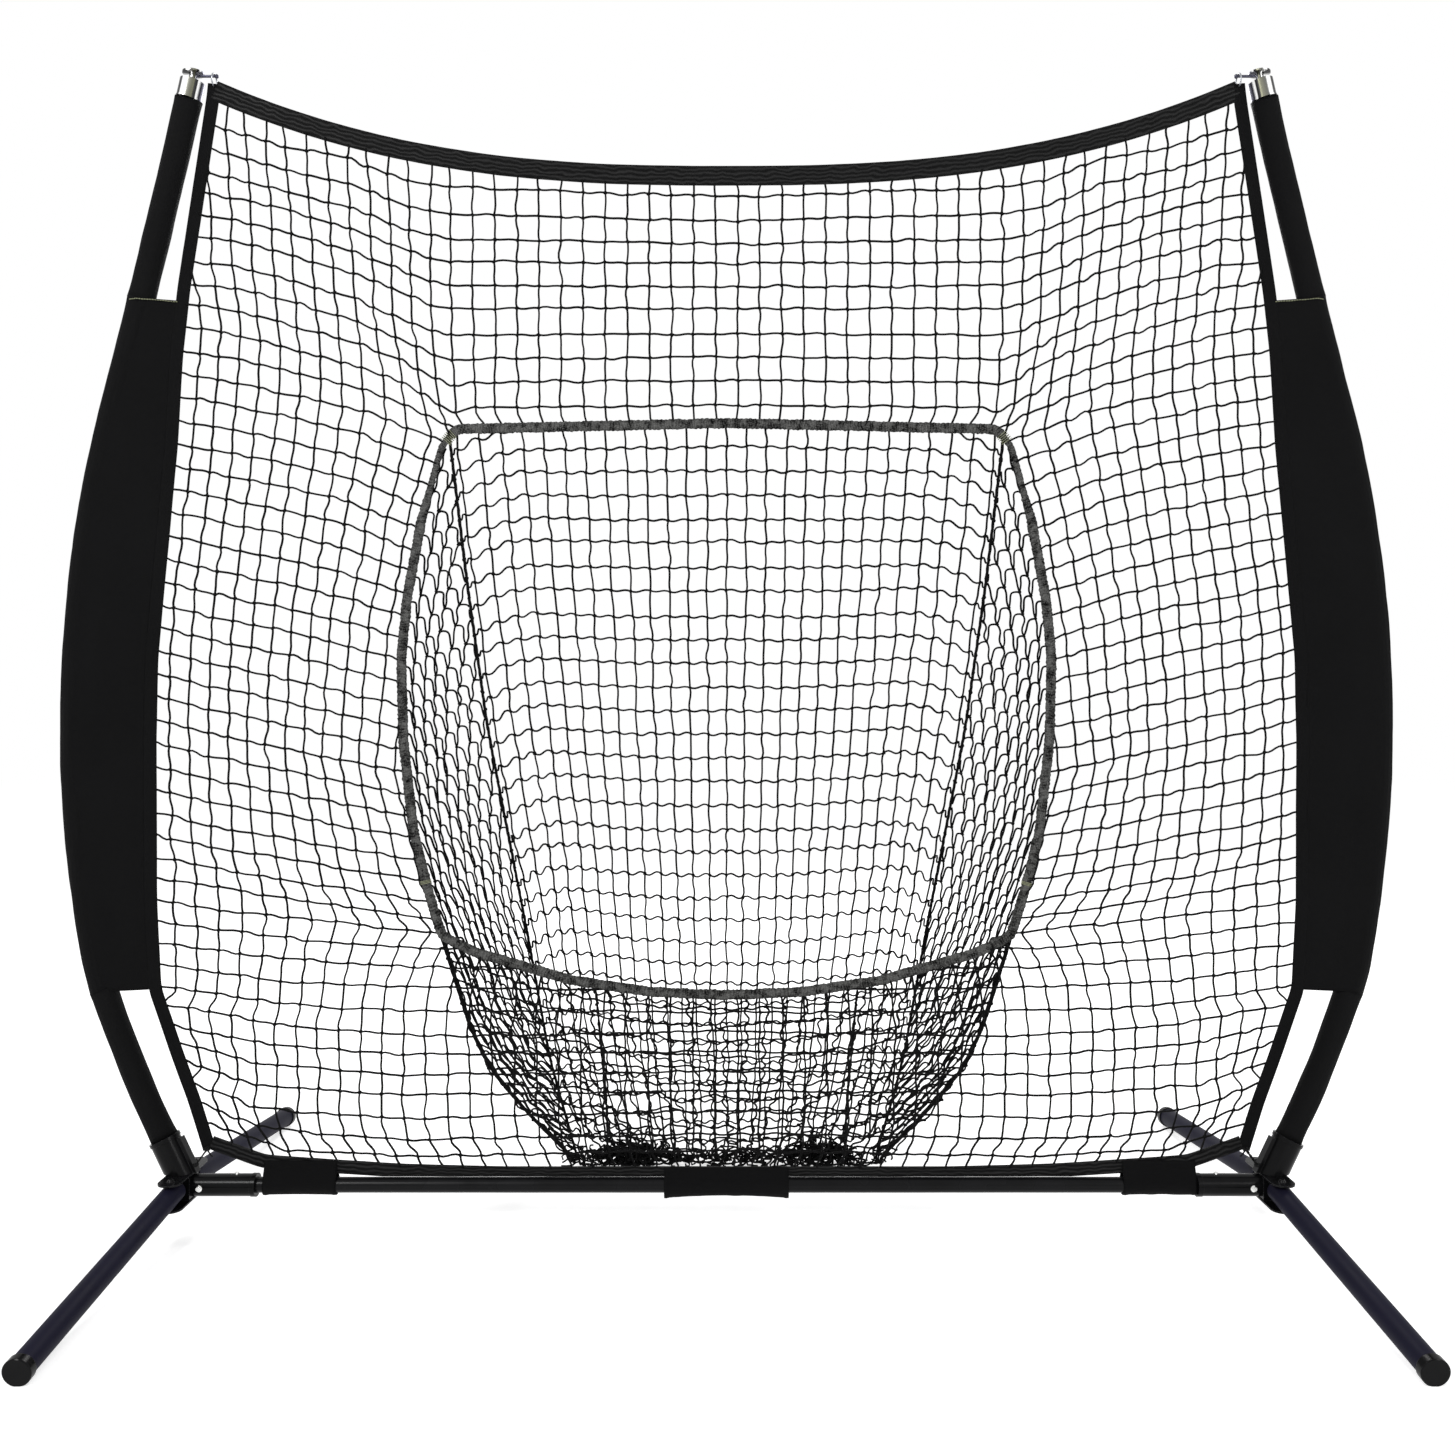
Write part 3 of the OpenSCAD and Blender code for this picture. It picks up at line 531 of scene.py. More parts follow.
def lookup(table, key):
    # straight-line reading of rows (key, value), held at both ends
    rows = sorted(table)
    if key <= rows[0][0]:
        return rows[0][1]
    for low, high in zip(rows, rows[1:]):
        if key <= high[0]:
            return mix(low[1], high[1], (key - low[0]) / (high[0] - low[0]))
    return rows[-1][1]


def smoothStep(t):
    t = min(1, max(0, t))
    return t * t * (3 - 2 * t)


def fadeBelow(value, start, over):
    # 0 above start, and 1 from there down by over
    return smoothStep((start - value) / over)


def newShape():
    return {"verts": [], "faces": [], "uvs": []}


def finishPiece(name, shape, material, replaced=()):
    data = bpy.data.meshes.new(name)
    data.from_pydata(shape["verts"], [], shape["faces"])
    if shape["uvs"]:
        layer = data.uv_layers.new(name="weave")
        for loop in data.loops:
            layer.data[loop.index].uv = shape["uvs"][loop.vertex_index]
    data.validate()
    data.shade_smooth()
    data.materials.append(materials[material])
    piece = bpy.data.objects.new(name, data)
    bpy.context.scene.collection.objects.link(piece)
    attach(piece, "frame")
    if replaced:
        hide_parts(*replaced)
    return piece


def joinRows(shape, start, rows, wide, closed=False):
    # quads between rows of points that the shape already has, from start on
    for i in range(rows - 1):
        a, b = start + i * wide, start + (i + 1) * wide
        for j in range(wide if closed else wide - 1):
            n = (j + 1) % wide
            shape["faces"].append((a + j, a + n, b + n, b + j))


def addTube(shape, path, radius, sides=5):
    # a round tube along a path, its frame carried from ring to ring, closed at both ends
    points = [Vector(p) for p in path]
    last = len(points) - 1
    start = len(shape["verts"])
    across = (points[-1] - points[0]).orthogonal()
    if across.length < 1e-9:
        across = Vector((0, 1, 0))
    travelled = 0
    for i, point in enumerate(points):
        along = (points[min(i + 1, last)] - points[max(i - 1, 0)]).normalized()
        across = (across - along * across.dot(along)).normalized()
        other = along.cross(across)
        travelled += (point - points[i - 1]).length if i else 0
        for k in range(sides):
            turn = 2 * math.pi * k / sides
            shape["verts"].append(
                point + across * (radius * math.cos(turn)) + other * (radius * math.sin(turn))
            )
            shape["uvs"].append((k / sides * 0.02, travelled))
    joinRows(shape, start, last + 1, sides, closed=True)
    shape["faces"].append(tuple(start + k for k in reversed(range(sides))))
    shape["faces"].append(tuple(start + last * sides + k for k in range(sides)))


def addKnot(shape, centre, size, turn, sides=6):
    # a small lump turned in the net's plane; size is half its width, depth and height
    start = len(shape["verts"])
    cos, sin = math.cos(turn), math.sin(turn)

    def put(x, y, z):
        shape["verts"].append(centre + Vector((x * cos - z * sin, y, x * sin + z * cos)))
        shape["uvs"].append((x, z))

    put(-size[0], 0, 0)
    for x in (-0.55, 0.55):  # a ring of points on each side of the middle
        swell = math.sqrt(1 - x * x)
        for k in range(sides):
            a = 2 * math.pi * k / sides
            put(x * size[0], swell * size[1] * math.cos(a), swell * size[2] * math.sin(a))
    put(size[0], 0, 0)
    end = len(shape["verts"]) - 1
    for k in range(sides):
        n = (k + 1) % sides
        a, b = start + 1, start + 1 + sides
        shape["faces"] += [(start, a + k, a + n), (a + k, b + k, b + n, a + n), (end, b + n, b + k)]


def addGrid(shape, rows, uvs, closed=False):
    start = len(shape["verts"])
    for row, uv in zip(rows, uvs):
        shape["verts"] += row
        shape["uvs"] += uv
    joinRows(shape, start, len(rows), len(rows[0]), closed)


def thicken(piece, name, thickness, offset=-1):
    wall = piece.modifiers.new(name, "SOLIDIFY")
    wall.thickness = thickness * mm
    wall.offset = offset


def wavyPath(a, b, bow=0.0, sway=0.0, depth=0.0, steps=5, ease=0.0):
    # a twine from a to b that bows one way, sways both ways and leaves the net's plane by depth;
    # ease makes it leave its knots squarely
    span = b - a
    out = Vector((0, 1, 0))
    side = span.cross(out)
    side = side.normalized() if side.length > 1e-9 else Vector((1, 0, 0))
    level = abs(span.x) > abs(span.z)
    path = []
    for i in range(steps + 1):
        t = i / steps
        arch, turn = math.sin(math.pi * t), math.sin(2 * math.pi * t)
        late = (smoothStep(t) - t) * ease
        slip = Vector((0, 0, span.z * late)) if level else Vector((span.x * late, 0, 0))
        path.append(a + span * t + slip + side * (bow * arch + sway * turn) + out * (depth * arch))
    return path


def cutToShape(path, isIn):
    # the stretches of a path that lie inside, each ended on the edge
    pieces, piece = [], []
    for i, p in enumerate(path):
        if i and isIn(p) != isIn(path[i - 1]):
            low, high = (path[i - 1], p) if isIn(path[i - 1]) else (p, path[i - 1])
            for _ in range(8):  # halves the step until the edge is found
                half = (low + high) / 2
                low, high = (half, high) if isIn(half) else (low, half)
            piece.append(low)
            if not isIn(p):
                pieces.append(piece)
                piece = []
        if isIn(p):
            piece.append(p)
    return [stretch for stretch in pieces + [piece] if len(stretch) > 1]


def isInside(point, outline):
    # counts the edges that lie to the right of the point
    x, z = point
    inside = False
    for (ax, az), (bx, bz) in zip(outline, outline[1:] + outline[:1]):
        if (az > z) != (bz > z) and x < (bx - ax) * (z - az) / (bz - az) + ax:
            inside = not inside
    return inside


def mirrored(line):
    return [(-x, z) for x, z in reversed(line)]


def resample(line, step):
    # points at even steps along a line, and its last point
    points = [Vector(p) for p in line]
    result, left = [points[0].copy()], step
    for a, b in zip(points, points[1:]):
        span = (b - a).length
        at = left
        while at < span:
            result.append(a.lerp(b, at / span))
            at += step
        left = at - span
    result.append(points[-1].copy())
    return result


def softened(points, rounds, closed=False):
    # rounds the corners of a finely divided line
    count = len(points)
    for _ in range(rounds):
        fresh = []
        for i, p in enumerate(points):
            if not closed and i in (0, count - 1):
                fresh.append(p)
            else:
                fresh.append((points[i - 1] + p * 2 + points[(i + 1) % count]) / 4)
        points = fresh
    return points


# lines that the net, its webbing and the pocket share: distance from the middle and height, in
# millimetres as everywhere from here on; side and bottom run along the middle of their webbing

frameLines = {
    "side": [(948, 2113), (951, 2085), (980, 1895), (1005, 1730), (1018, 1610), (1028, 1440),
             (1042, 1290), (1055, 1150), (1064, 1050), (1067, 900), (1066, 600), (1058, 438),
             (1019, 324), (985, 231), (957, 141)],
    "bottom": [(0, 96), (414, 96), (600, 101), (710, 108), (856, 118), (953, 153)],
    "mouth": [(0, 1485), (500, 1474), (527, 1443), (565, 1304), (592, 1156), (602, 1050),
              (598, 897), (580, 731), (555, 629), (527, 536), (465, 505), (285, 453), (140, 432),
              (0, 426)],
    "lowerEdge": 9,  # the point of the mouth where its lower edge begins
    "topLow": 1943, "topSag": 158, "topEnd": 948, "topBend": 2.6,
    "topHalf": 19, "sideHalf": 12.5, "bottomHalf": 13.5,  # half of each webbing's width
}


def topLine(x):
    rise = (abs(x) / frameLines["topEnd"]) ** frameLines["topBend"]
    return frameLines["topLow"] + frameLines["topSag"] * rise


def sideX(z):
    return lookup([(p[1], p[0]) for p in frameLines["side"]], z)


def netOpening(tuck):
    # the inner edge of the webbing all round, moved outwards by tuck
    half = frameLines["sideHalf"] - tuck
    right = [(x - half, z) for x, z in frameLines["side"][1:-1]]
    low = [(x, z + frameLines["bottomHalf"] - tuck) for x, z in frameLines["bottom"]]
    top = [(x, topLine(x) - frameLines["topHalf"] + tuck) for x in range(-930, 931, 60)]
    return top + right + low[::-1] + [(-x, z) for x, z in low[1:]] + mirrored(right)


mouthOutline = frameLines["mouth"] + mirrored(frameLines["mouth"])[1:-1]

# the flat net

flatNet = {
    "seed": 7,
    "twine": 2.0,  # radius
    "twineUneven": (0.9, 1.1),
    "knot": (4.3, 3.2, 3.6),
    "knotUneven": (0.88, 1.12),
    "knotTilt": 0.9,
    "scatter": (0.9, 0.6),  # of the knots, in the net's plane and out of it
    "bow": 0.8,
    "sway": (0.8, 0.4),  # of a strand, and how unlike its neighbours it is
    "swayFrom": 38,  # shorter strands sway less
    "depth": 1.5,
    "ease": 1.2,
    "tuck": 5,  # how far it goes under the webbing
    "columns": 52,
    "middle": 26.5,  # between two columns
    "upperFrom": 1440, "lowerTo": 500,  # where the upper and the lower part end
    # the rows past the first and the last, which only lead to the webbing
    "beyond": {"up": 42, "stagger": 3, "down": 28, "inwards": 10},
    # height of each row where it is 877 mm from the middle
    "levels": [2020, 1974, 1931, 1893, 1852, 1813, 1767, 1726, 1685, 1641, 1597, 1552, 1510,
               1465, 1423, 1380, 1336, 1291, 1245, 1199, 1154, 1112, 1069, 1025, 982, 940, 897,
               855, 812, 770, 727, 688, 649, 614, 577, 540, 500, 459, 418, 379, 340, 302, 263,
               220, 174, 157],
    # for some rows: column, distance from the middle, height above the row's level
    "rows": {
        0: [(3, 926, 9), (6, 818, -24), (9, 702, -44), (12, 589, -87), (13, 549, -92),
            (14, 512, -98), (26.5, 0, -117)],
        3: [(1, 993, 22), (3, 918, 9), (6, 807, -15), (9, 696, -48), (12, 585, -90),
            (13, 549, -102), (14, 511, -109), (26.5, 0, -113)],
        6: [(2, 953, 13), (3, 915, 10), (6, 801, -19), (9, 688, -52), (12, 581, -96),
            (13, 546, -111), (14, 510, -119), (26.5, 0, -117)],
        9: [(1, 972, 17), (3, 900, 5), (6, 790, -23), (9, 675, -54), (11, 601, -81),
            (12, 565, -101), (13, 533, -122), (14, 501, -135), (15, 465, -127), (16, 428, -127),
            (26.5, 0, -122)],
        11: [(1, 979, 19), (3, 905, 7), (6, 790, -18), (9, 672, -46), (12, 549, -92)],
        15: [(1, 993, 19), (3, 920, 6), (6, 811, -14), (9, 699, -41), (12, 591, -83)],
        20: [(1, 1020, 31), (3, 948, 13), (6, 837, -7), (9, 733, -31), (12, 628, -59)],
        23: [(1, 1029, 34), (3, 956, 15), (6, 847, -7), (9, 742, -30), (12, 638, -54)],
        26: [(1, 1032, 33), (3, 960, 15), (6, 853, -7), (9, 749, -28), (12, 649, -48)],
        31: [(1, 1027, 28), (3, 953, 11), (6, 834, -7), (8, 755, -20), (10, 679, -33),
             (12, 605, -43)],
        32: [(1, 1024, 26), (5, 867, -2), (9, 707, -26), (12, 589, -44)],
        33: [(1, 1022, 24), (5, 858, -2), (12, 567, -43)],
        34: [(1, 1024, 20), (3, 940, 6), (6, 810, -7), (9, 681, -21), (12, 547, -35)],
        35: [(1, 1022, 18), (6, 816, -7), (7, 775, -13), (12, 567, -28), (13, 529, -28),
             (26.5, 0, -37)],
        36: [(1, 1021, 18), (6, 821, -6), (12, 579, -22), (13, 542, -22), (26.5, 0, -33)],
        37: [(1, 1019, 20), (6, 825, -7), (12, 591, -18), (14, 511, -18), (26.5, 0, -28)],
        38: [(1, 1020, 22), (6, 829, -7), (9, 712, -17), (12, 597, -20), (14, 517, -22),
             (26.5, 0, -24)],
        39: [(2, 999, 22), (3, 957, 16), (6, 837, -7), (9, 718, -18), (12, 598, -26),
             (15, 481, -29), (26.5, 0, -20)],
        40: [(2, 992, 24), (6, 837, -7), (12, 599, -24), (26.5, 0, -18)],
        41: [(2, 981, 28), (5, 871, -2), (12, 599, -24), (26.5, 0, -17)],
        42: [(2, 973, 30), (5, 870, -4), (12, 599, -22), (26.5, 0, -14)],
        43: [(3, 953, 29), (5, 876, 0), (7, 796, -10), (12, 598, -22), (26.5, 0, -8)],
        44: [(3, 940, 39), (5, 866, 9), (8, 749, -6), (12, 591, -15), (26.5, 0, -4)],
        45: [(3, 925, 20), (6, 811, -18), (8, 730, -21), (12, 572, -30), (26.5, 0, -18)],
    },
}


def alongRow(row, column):
    # distance from the middle and height of a column in a row of the table, drawn on past its ends
    for a, b in zip(row, row[1:]):
        if column <= b[0] or b is row[-1]:
            t = (column - a[0]) / (b[0] - a[0])
            return mix(a[1], b[1], t), mix(a[2], b[2], t)


def knotPlace(column, row):
    last = len(flatNet["levels"]) - 1
    middle, beyond = flatNet["middle"], flatNet["beyond"]
    fromSide = column if column < middle else 2 * middle - column
    held = min(last, max(0, row))
    table = flatNet["rows"]
    low = max(r for r in table if r <= held)
    high = min(r for r in table if r >= held)
    t = (held - low) / (high - low) if high > low else 0
    (x0, d0), (x1, d1) = alongRow(table[low], fromSide), alongRow(table[high], fromSide)
    x, z = mix(x0, x1, t), flatNet["levels"][held] + mix(d0, d1, t)
    if row < 0:
        z += beyond["up"]
        x -= beyond["stagger"] if column % 2 else -beyond["stagger"]
    if row > last:
        z -= beyond["down"]
        x -= beyond["inwards"]
    return (-x if column < middle else x, z)


def makeFlatNet():
    rand = random.Random(flatNet["seed"])
    opening = netOpening(flatNet["tuck"])
    shapes = {name: newShape() for name in ("upper", "left", "right", "lower")}
    lastRow = len(flatNet["levels"]) - 1
    flat, out = flatNet["scatter"]
    places = {}
    for r in range(-1, lastRow + 2):
        for c in range(flatNet["columns"] + 2):
            x, z = knotPlace(c, r)
            places[c, r] = Vector(
                (x + rand.gauss(0, flat), rand.gauss(0, out), z + rand.gauss(0, flat))
            )

    def isNet(p):
        return isInside((p.x, p.z), opening) and not isInside((p.x, p.z), mouthOutline)

    def partFor(p):
        if p.z > flatNet["upperFrom"]:
            return shapes["upper"]
        if p.z < flatNet["lowerTo"]:
            return shapes["lower"]
        return shapes["left" if p.x < 0 else "right"]

    inside = {key: isNet(p) for key, p in places.items()}

    def addStrand(first, second):
        if not inside[first] and not inside[second]:
            return
        a, b = places[first], places[second]
        parity = 1 if (first[0] + first[1]) % 2 else -1
        sway, unlike = flatNet["sway"]
        full = min(1, (b - a).length / flatNet["swayFrom"])
        path = wavyPath(
            a, b,
            bow=rand.gauss(0, flatNet["bow"]),
            sway=(parity * sway + rand.gauss(0, unlike)) * full,
            depth=rand.gauss(0, flatNet["depth"]),
            ease=flatNet["ease"],
        )
        radius = flatNet["twine"] * rand.uniform(*flatNet["twineUneven"])
        for stretch in cutToShape(path, isNet):
            addTube(partFor(stretch[0]), [p * mm for p in stretch], radius * mm)

    for c, r in places:
        if (c + 1, r) in places and 0 <= r <= lastRow:
            addStrand((c, r), (c + 1, r))
        if (c, r + 1) in places:
            addStrand((c, r), (c, r + 1))
        if inside[c, r] and 0 <= r <= lastRow:
            size = [v * mm * rand.uniform(*flatNet["knotUneven"]) for v in flatNet["knot"]]
            turn = rand.uniform(-flatNet["knotTilt"], flatNet["knotTilt"])
            addKnot(partFor(places[c, r]), places[c, r] * mm, size, turn)
    for part, shape in shapes.items():
        finishPiece(f"{part}Netting", shape, "netTwine", [f"net_{part}"])
        print(part, "netting:", len(shape["faces"]), "faces")


makeFlatNet()

# the pocket, hung behind the mouth

pocket = {
    "seed": 11,
    "twine": 2.0,  # radius
    "twineUneven": (0.9, 1.1),
    "knot": (4.2, 3.1, 3.5),
    "knotUneven": (0.85, 1.12),
    "knotTilt": 1.4,
    "floor": 5,  # the slack lies on the ground
    "lowest": 7,  # nothing of it is drawn lower
    # points of the seams: distance from the middle, depth behind the net, height
    "backSeam": [(514, 6, 1458), (496, 80, 1190), (472, 160, 913), (417, 300, 491),
                 (380, 378, 200), (345, 370, 80), (312, 292, 24)],
    "frontSeam": [(527, 6, 1443), (565, 6, 1304), (592, 6, 1156), (602, 6, 1050), (598, 6, 897),
                  (580, 6, 731), (555, 6, 629), (527, 6, 536), (484, 60, 348), (455, 110, 255),
                  (389, 190, 137), (318, 280, 24)],
    "seamSpread": 18, "seamEnds": 40,  # rounds the seams' corners, but less near their ends
    "crown": [(0, 1483), (500, 1472)],  # top of the back: distance from the middle, height
    "backBulge": 34,
    "sideBulge": 12,
    "sideOut": 3,  # the sides stand outside the seams by this
    "footDepth": 284,  # how far behind the net the front meets the ground in the middle
}
noise.seed_set(pocket["seed"])  # without it the drift of the twines would differ from run to run


def seamAt(seam, z):
    rowsX = [(p[2], p[0]) for p in seam]
    rowsY = [(p[2], p[1]) for p in seam]
    low, high = seam[-1][2], seam[0][2]
    inner = min(1, (z - low) / pocket["seamEnds"], (high - z) / pocket["seamEnds"])
    heights = [z + n * pocket["seamSpread"] * inner for n in (-2, -1, 0, 1, 2)]
    xs, ys = ([lookup(rows, h) for h in heights] for rows in (rowsX, rowsY))
    return sum(xs) / 5, sum(ys) / 5


def bulgeAt(t):
    return math.sin(math.pi * min(1, max(0, t)))


def backPoint(u, z):
    # a point of the pocket's back, u from -1 to 1 between its two seams
    widest, _, top = pocket["backSeam"][0]
    t = (top - z) / (top - pocket["floor"])
    x, y = seamAt(pocket["backSeam"], min(top, max(pocket["floor"], z)))
    crown = lookup(pocket["crown"] + [(widest, top)], abs(u) * widest) - top
    depth = y + pocket["backBulge"] * bulgeAt(t) * (1 - u * u)
    return Vector((u * x, depth, z + crown * (1 - t)))


def sidePoint(side, u, z):
    # a point of a side, u from 0 at the mouth to 1 at the back seam
    top = pocket["frontSeam"][0][2]
    t = (top - z) / (top - pocket["floor"])
    fx, fy = seamAt(pocket["frontSeam"], z)
    bx, by = seamAt(pocket["backSeam"], z)
    puff = pocket["sideBulge"] * 4 * u * (1 - u) * bulgeAt(t)
    return Vector((side * (mix(fx, bx, u) + puff + pocket["sideOut"]), mix(fy, by, u), z))


def skirtPoint(u, t):
    # a point of the front below the mouth, t from 0 at the binding to 1 at the floor
    edge = frameLines["mouth"][frameLines["lowerEdge"]:]
    widest, top = edge[0]
    x, y = seamAt(pocket["frontSeam"], mix(top, pocket["floor"], t))
    middle = mix(pocket["frontSeam"][0][1], pocket["footDepth"], t)
    high = lookup(edge, abs(u) * widest)
    return Vector((u * x, mix(middle, y, abs(u) ** 3), mix(high, pocket["floor"], t)))


def crumple(point, size, scale, seed):
    # smooth drift in all directions
    return noise.noise_vector(point * scale + Vector((seed, seed * 2, 0))) * size


def keepOffGround(spot):
    spot.z = max(spot.z, pocket["lowest"])


def addTwine(shape, rand, path):
    radius = pocket["twine"] * mm * rand.uniform(*pocket["twineUneven"])
    addTube(shape, [p * mm for p in path], radius)


def addPocketKnot(shape, rand, spot):
    size = [v * mm * rand.uniform(*pocket["knotUneven"]) for v in pocket["knot"]]
    addKnot(shape, spot * mm, size, rand.uniform(-pocket["knotTilt"], pocket["knotTilt"]))


backNet = {
    # height of each row in the middle
    "levels": [1461, 1421, 1380, 1337, 1294, 1254, 1207, 1164, 1115, 1072, 1027, 980, 934, 888,
               840, 793, 742, 691, 646, 596, 546, 499, 448, 402, 358, 314, 270, 226, 184, 144,
               106, 70, 42, 20],
    "columns": 13.4,  # from the middle to a seam
    "spacing": [(491, 34.2), (913, 36), (1190, 37), (1472, 37.5)],  # height, column spacing
    "closeUp": 1.1,  # the most that the columns close up beside the seams
    "rise": [(440, 56), (590, 42), (944, 32), (1300, 16), (1458, 2)],  # height, rise at the seams
    "droop": 50,  # how far the rows fall again beside the seams
    "droopBeside": (0.7, 0.3),  # from this share of the width on, and over this share
    "droopAbove": (40, 300),
    "scatter": (0.8, 1.5),  # of the knots, in the net's plane and out of it
    "crumple": (1.9, 6),  # everywhere, and how much more close to the ground
    "crumpleBelow": (420, 300),  # the height where it grows, and how far below it is full
    "drift": (0.012, 3),  # how fine the crumple is, and its seed
    "tieDrop": 7,  # from a row's last knot to the seam
    "sway": (1.9, 3.2),  # of a row's strands in the middle and beside the seams
    "swayBeside": (0.4, 0.6),
    "lowSway": 0.8,  # how much more they sway in the lower half
    "lowSwayBelow": (1000, 450),
    "swayUnlike": (0.8, 1.2),
    "rimDepth": 4,
    "bow": 0.7, "columnSway": 0.9, "depth": 1.6,
    "rowEase": 0.9, "columnEase": 0.5,
}


def makePocketBack():
    rand = random.Random(pocket["seed"])
    shape, spots = newShape(), {}
    levels, columns = backNet["levels"], backNet["columns"]
    top, upperEdge = pocket["backSeam"][0][2], frameLines["mouth"][:3]
    flat, out = backNet["scatter"]
    slack, moreSlack = backNet["crumple"]
    (droopStart, droopOver), (swayStart, swayOver) = backNet["droopBeside"], backNet["swayBeside"]
    low, fullBy = backNet["droopAbove"]
    for i, level in enumerate(levels):
        wide = seamAt(pocket["backSeam"], min(top, level))[0]
        # columns stand evenly in the middle and close up beside the seams
        even = min(backNet["closeUp"], lookup(backNet["spacing"], level) * columns / wide)
        fall = backNet["droop"] * smoothStep((level - low) / fullBy)
        loose = slack + moreSlack * fadeBelow(level, *backNet["crumpleBelow"])
        for j in range(-int(columns), int(columns) + 1):
            v = j / columns
            u = even * v - (even - 1) * v ** 3
            spot = backPoint(u, level)
            spot.z += lookup(backNet["rise"], level) * u * u
            spot.z -= fall * max(0, (abs(v) - droopStart) / droopOver) ** 2
            spot += crumple(spot, loose, *backNet["drift"])
            spot += Vector((rand.gauss(0, flat), rand.gauss(0, out), rand.gauss(0, flat)))
            keepOffGround(spot)
            spots[j, i] = spot

    for (j, i), spot in spots.items():
        sway = mix(*backNet["sway"], smoothStep((abs(j) / columns - swayStart) / swayOver))
        lower = 1 + backNet["lowSway"] * fadeBelow(levels[i], *backNet["lowSwayBelow"])
        for step in (-1, 1) if j == 0 else (int(math.copysign(1, j)),):
            beyond = spots.get((j + step, i)) or backPoint(float(step), spot.z - backNet["tieDrop"])
            turned = sway * rand.uniform(*backNet["swayUnlike"]) * lower * step
            addTwine(shape, rand, wavyPath(
                spot, beyond, sway=turned, depth=rand.gauss(0, backNet["depth"]), steps=7,
                ease=backNet["rowEase"],
            ))
        if (j, i + 1) in spots:
            addTwine(shape, rand, wavyPath(
                spot, spots[j, i + 1], bow=rand.gauss(0, backNet["bow"]),
                sway=rand.gauss(0, backNet["columnSway"]), depth=rand.gauss(0, backNet["depth"]),
                ease=backNet["columnEase"],
            ))
        if i == 0:
            rim = Vector((spot.x, backNet["rimDepth"], lookup(upperEdge, abs(spot.x))))
            addTwine(shape, rand, wavyPath(spot, rim))
        addPocketKnot(shape, rand, spot)
    finishPiece("pocketBackNetting", shape, "netTwine", ["pocket_back"])
    print("pocket back:", len(shape["faces"]), "faces")


gusset = {
    "mesh": (26, 10, 41),  # from one knot to the next: across, up and down
    "first": 9,  # from the mouth to the first knot
    "columns": (-1, 20), "rows": (-2, 46),
    "scatter": (1.6, 1.8),
    "inside": 3,  # it ends this far from the top and the ground
    "crumple": (2, 8),  # everywhere, and how much more close to the ground
    "crumpleBelow": (600, 450),
    "drift": (0.016, 5),
    "edge": 40,  # so close to the seams it crumples less
    "lean": (-1.9, 0.8),  # of the steep strands' waves, and how unlike they are
    # a hooked strand leaves its knot sideways, arches over and comes down steeply on the next
    "leave": (24, 3), "leaveUnlike": (2, 1.5),
    "land": (-12, 19), "landUnlike": (1.5, 2),
}


def curved(a, b, c, d, steps):
    # a smooth curve from a to d, drawn towards b and c
    points = []
    for i in range(steps + 1):
        t = i / steps
        early, late = 3 * t * (1 - t) ** 2, 3 * t * t * (1 - t)
        points.append(a * (1 - t) ** 3 + b * early + c * late + d * t ** 3)
    return points


def makePocketSide(side):
    # netting hung askew, worked out flat, by distance from the mouth and height
    rand = random.Random(pocket["seed"] + 5 + side)
    shape, knots = newShape(), {}
    top, floor = pocket["frontSeam"][0][2], pocket["floor"]
    across, up, down = gusset["mesh"]
    inside, near = gusset["inside"], gusset["edge"]
    slack, moreSlack = gusset["crumple"]

    def width(z):
        fx, fy = seamAt(pocket["frontSeam"], z)
        bx, by = seamAt(pocket["backSeam"], z)
        return math.hypot(fx - bx, fy - by)

    def isSide(p):
        return floor + inside <= p.y <= top - inside and 0 <= p.x <= width(p.y)

    def place(p):
        spot = sidePoint(side, min(1, p.x / max(1, width(p.y))), p.y)
        edge = smoothStep(p.x / near) * smoothStep((width(p.y) - p.x) / near)
        loose = slack + moreSlack * fadeBelow(p.y, *gusset["crumpleBelow"])
        spot += crumple(spot, loose * edge, *gusset["drift"])
        keepOffGround(spot)
        return spot

    def pull(name):
        (x, z), (spreadX, spreadZ) = gusset[name], gusset[f"{name}Unlike"]
        return Vector((x + rand.gauss(0, spreadX), z + rand.gauss(0, spreadZ)))

    for m in range(*gusset["columns"]):
        for n in range(*gusset["rows"]):
            knots[m, n] = Vector((
                across * m + gusset["first"] + rand.gauss(0, gusset["scatter"][0]),
                top - down * n + up * m + rand.gauss(0, gusset["scatter"][1]),
            ))
    for (m, n), knot in knots.items():
        if (m, n + 1) in knots:
            lean = rand.gauss(*gusset["lean"])
            waves = [Vector((lean * math.sin(math.pi * i / 4), 0)) for i in range(9)]
            steep = [knot.lerp(knots[m, n + 1], i / 8) + wave for i, wave in enumerate(waves)]
            for stretch in cutToShape(steep, isSide):
                addTwine(shape, rand, [place(p) for p in stretch])
        if (m + 1, n + 1) in knots:
            end = knots[m + 1, n + 1]
            hooked = curved(knot, knot + pull("leave"), end + pull("land"), end, 10)
            for stretch in cutToShape(hooked, isSide):
                addTwine(shape, rand, [place(p) for p in stretch])
        if isSide(knot):
            addPocketKnot(shape, rand, place(knot))
    name = "left" if side < 0 else "right"
    finishPiece(f"pocket{name.title()}Netting", shape, "netTwine", [f"pocket_{name}"])
    print("pocket", name, ":", len(shape["faces"]), "faces")


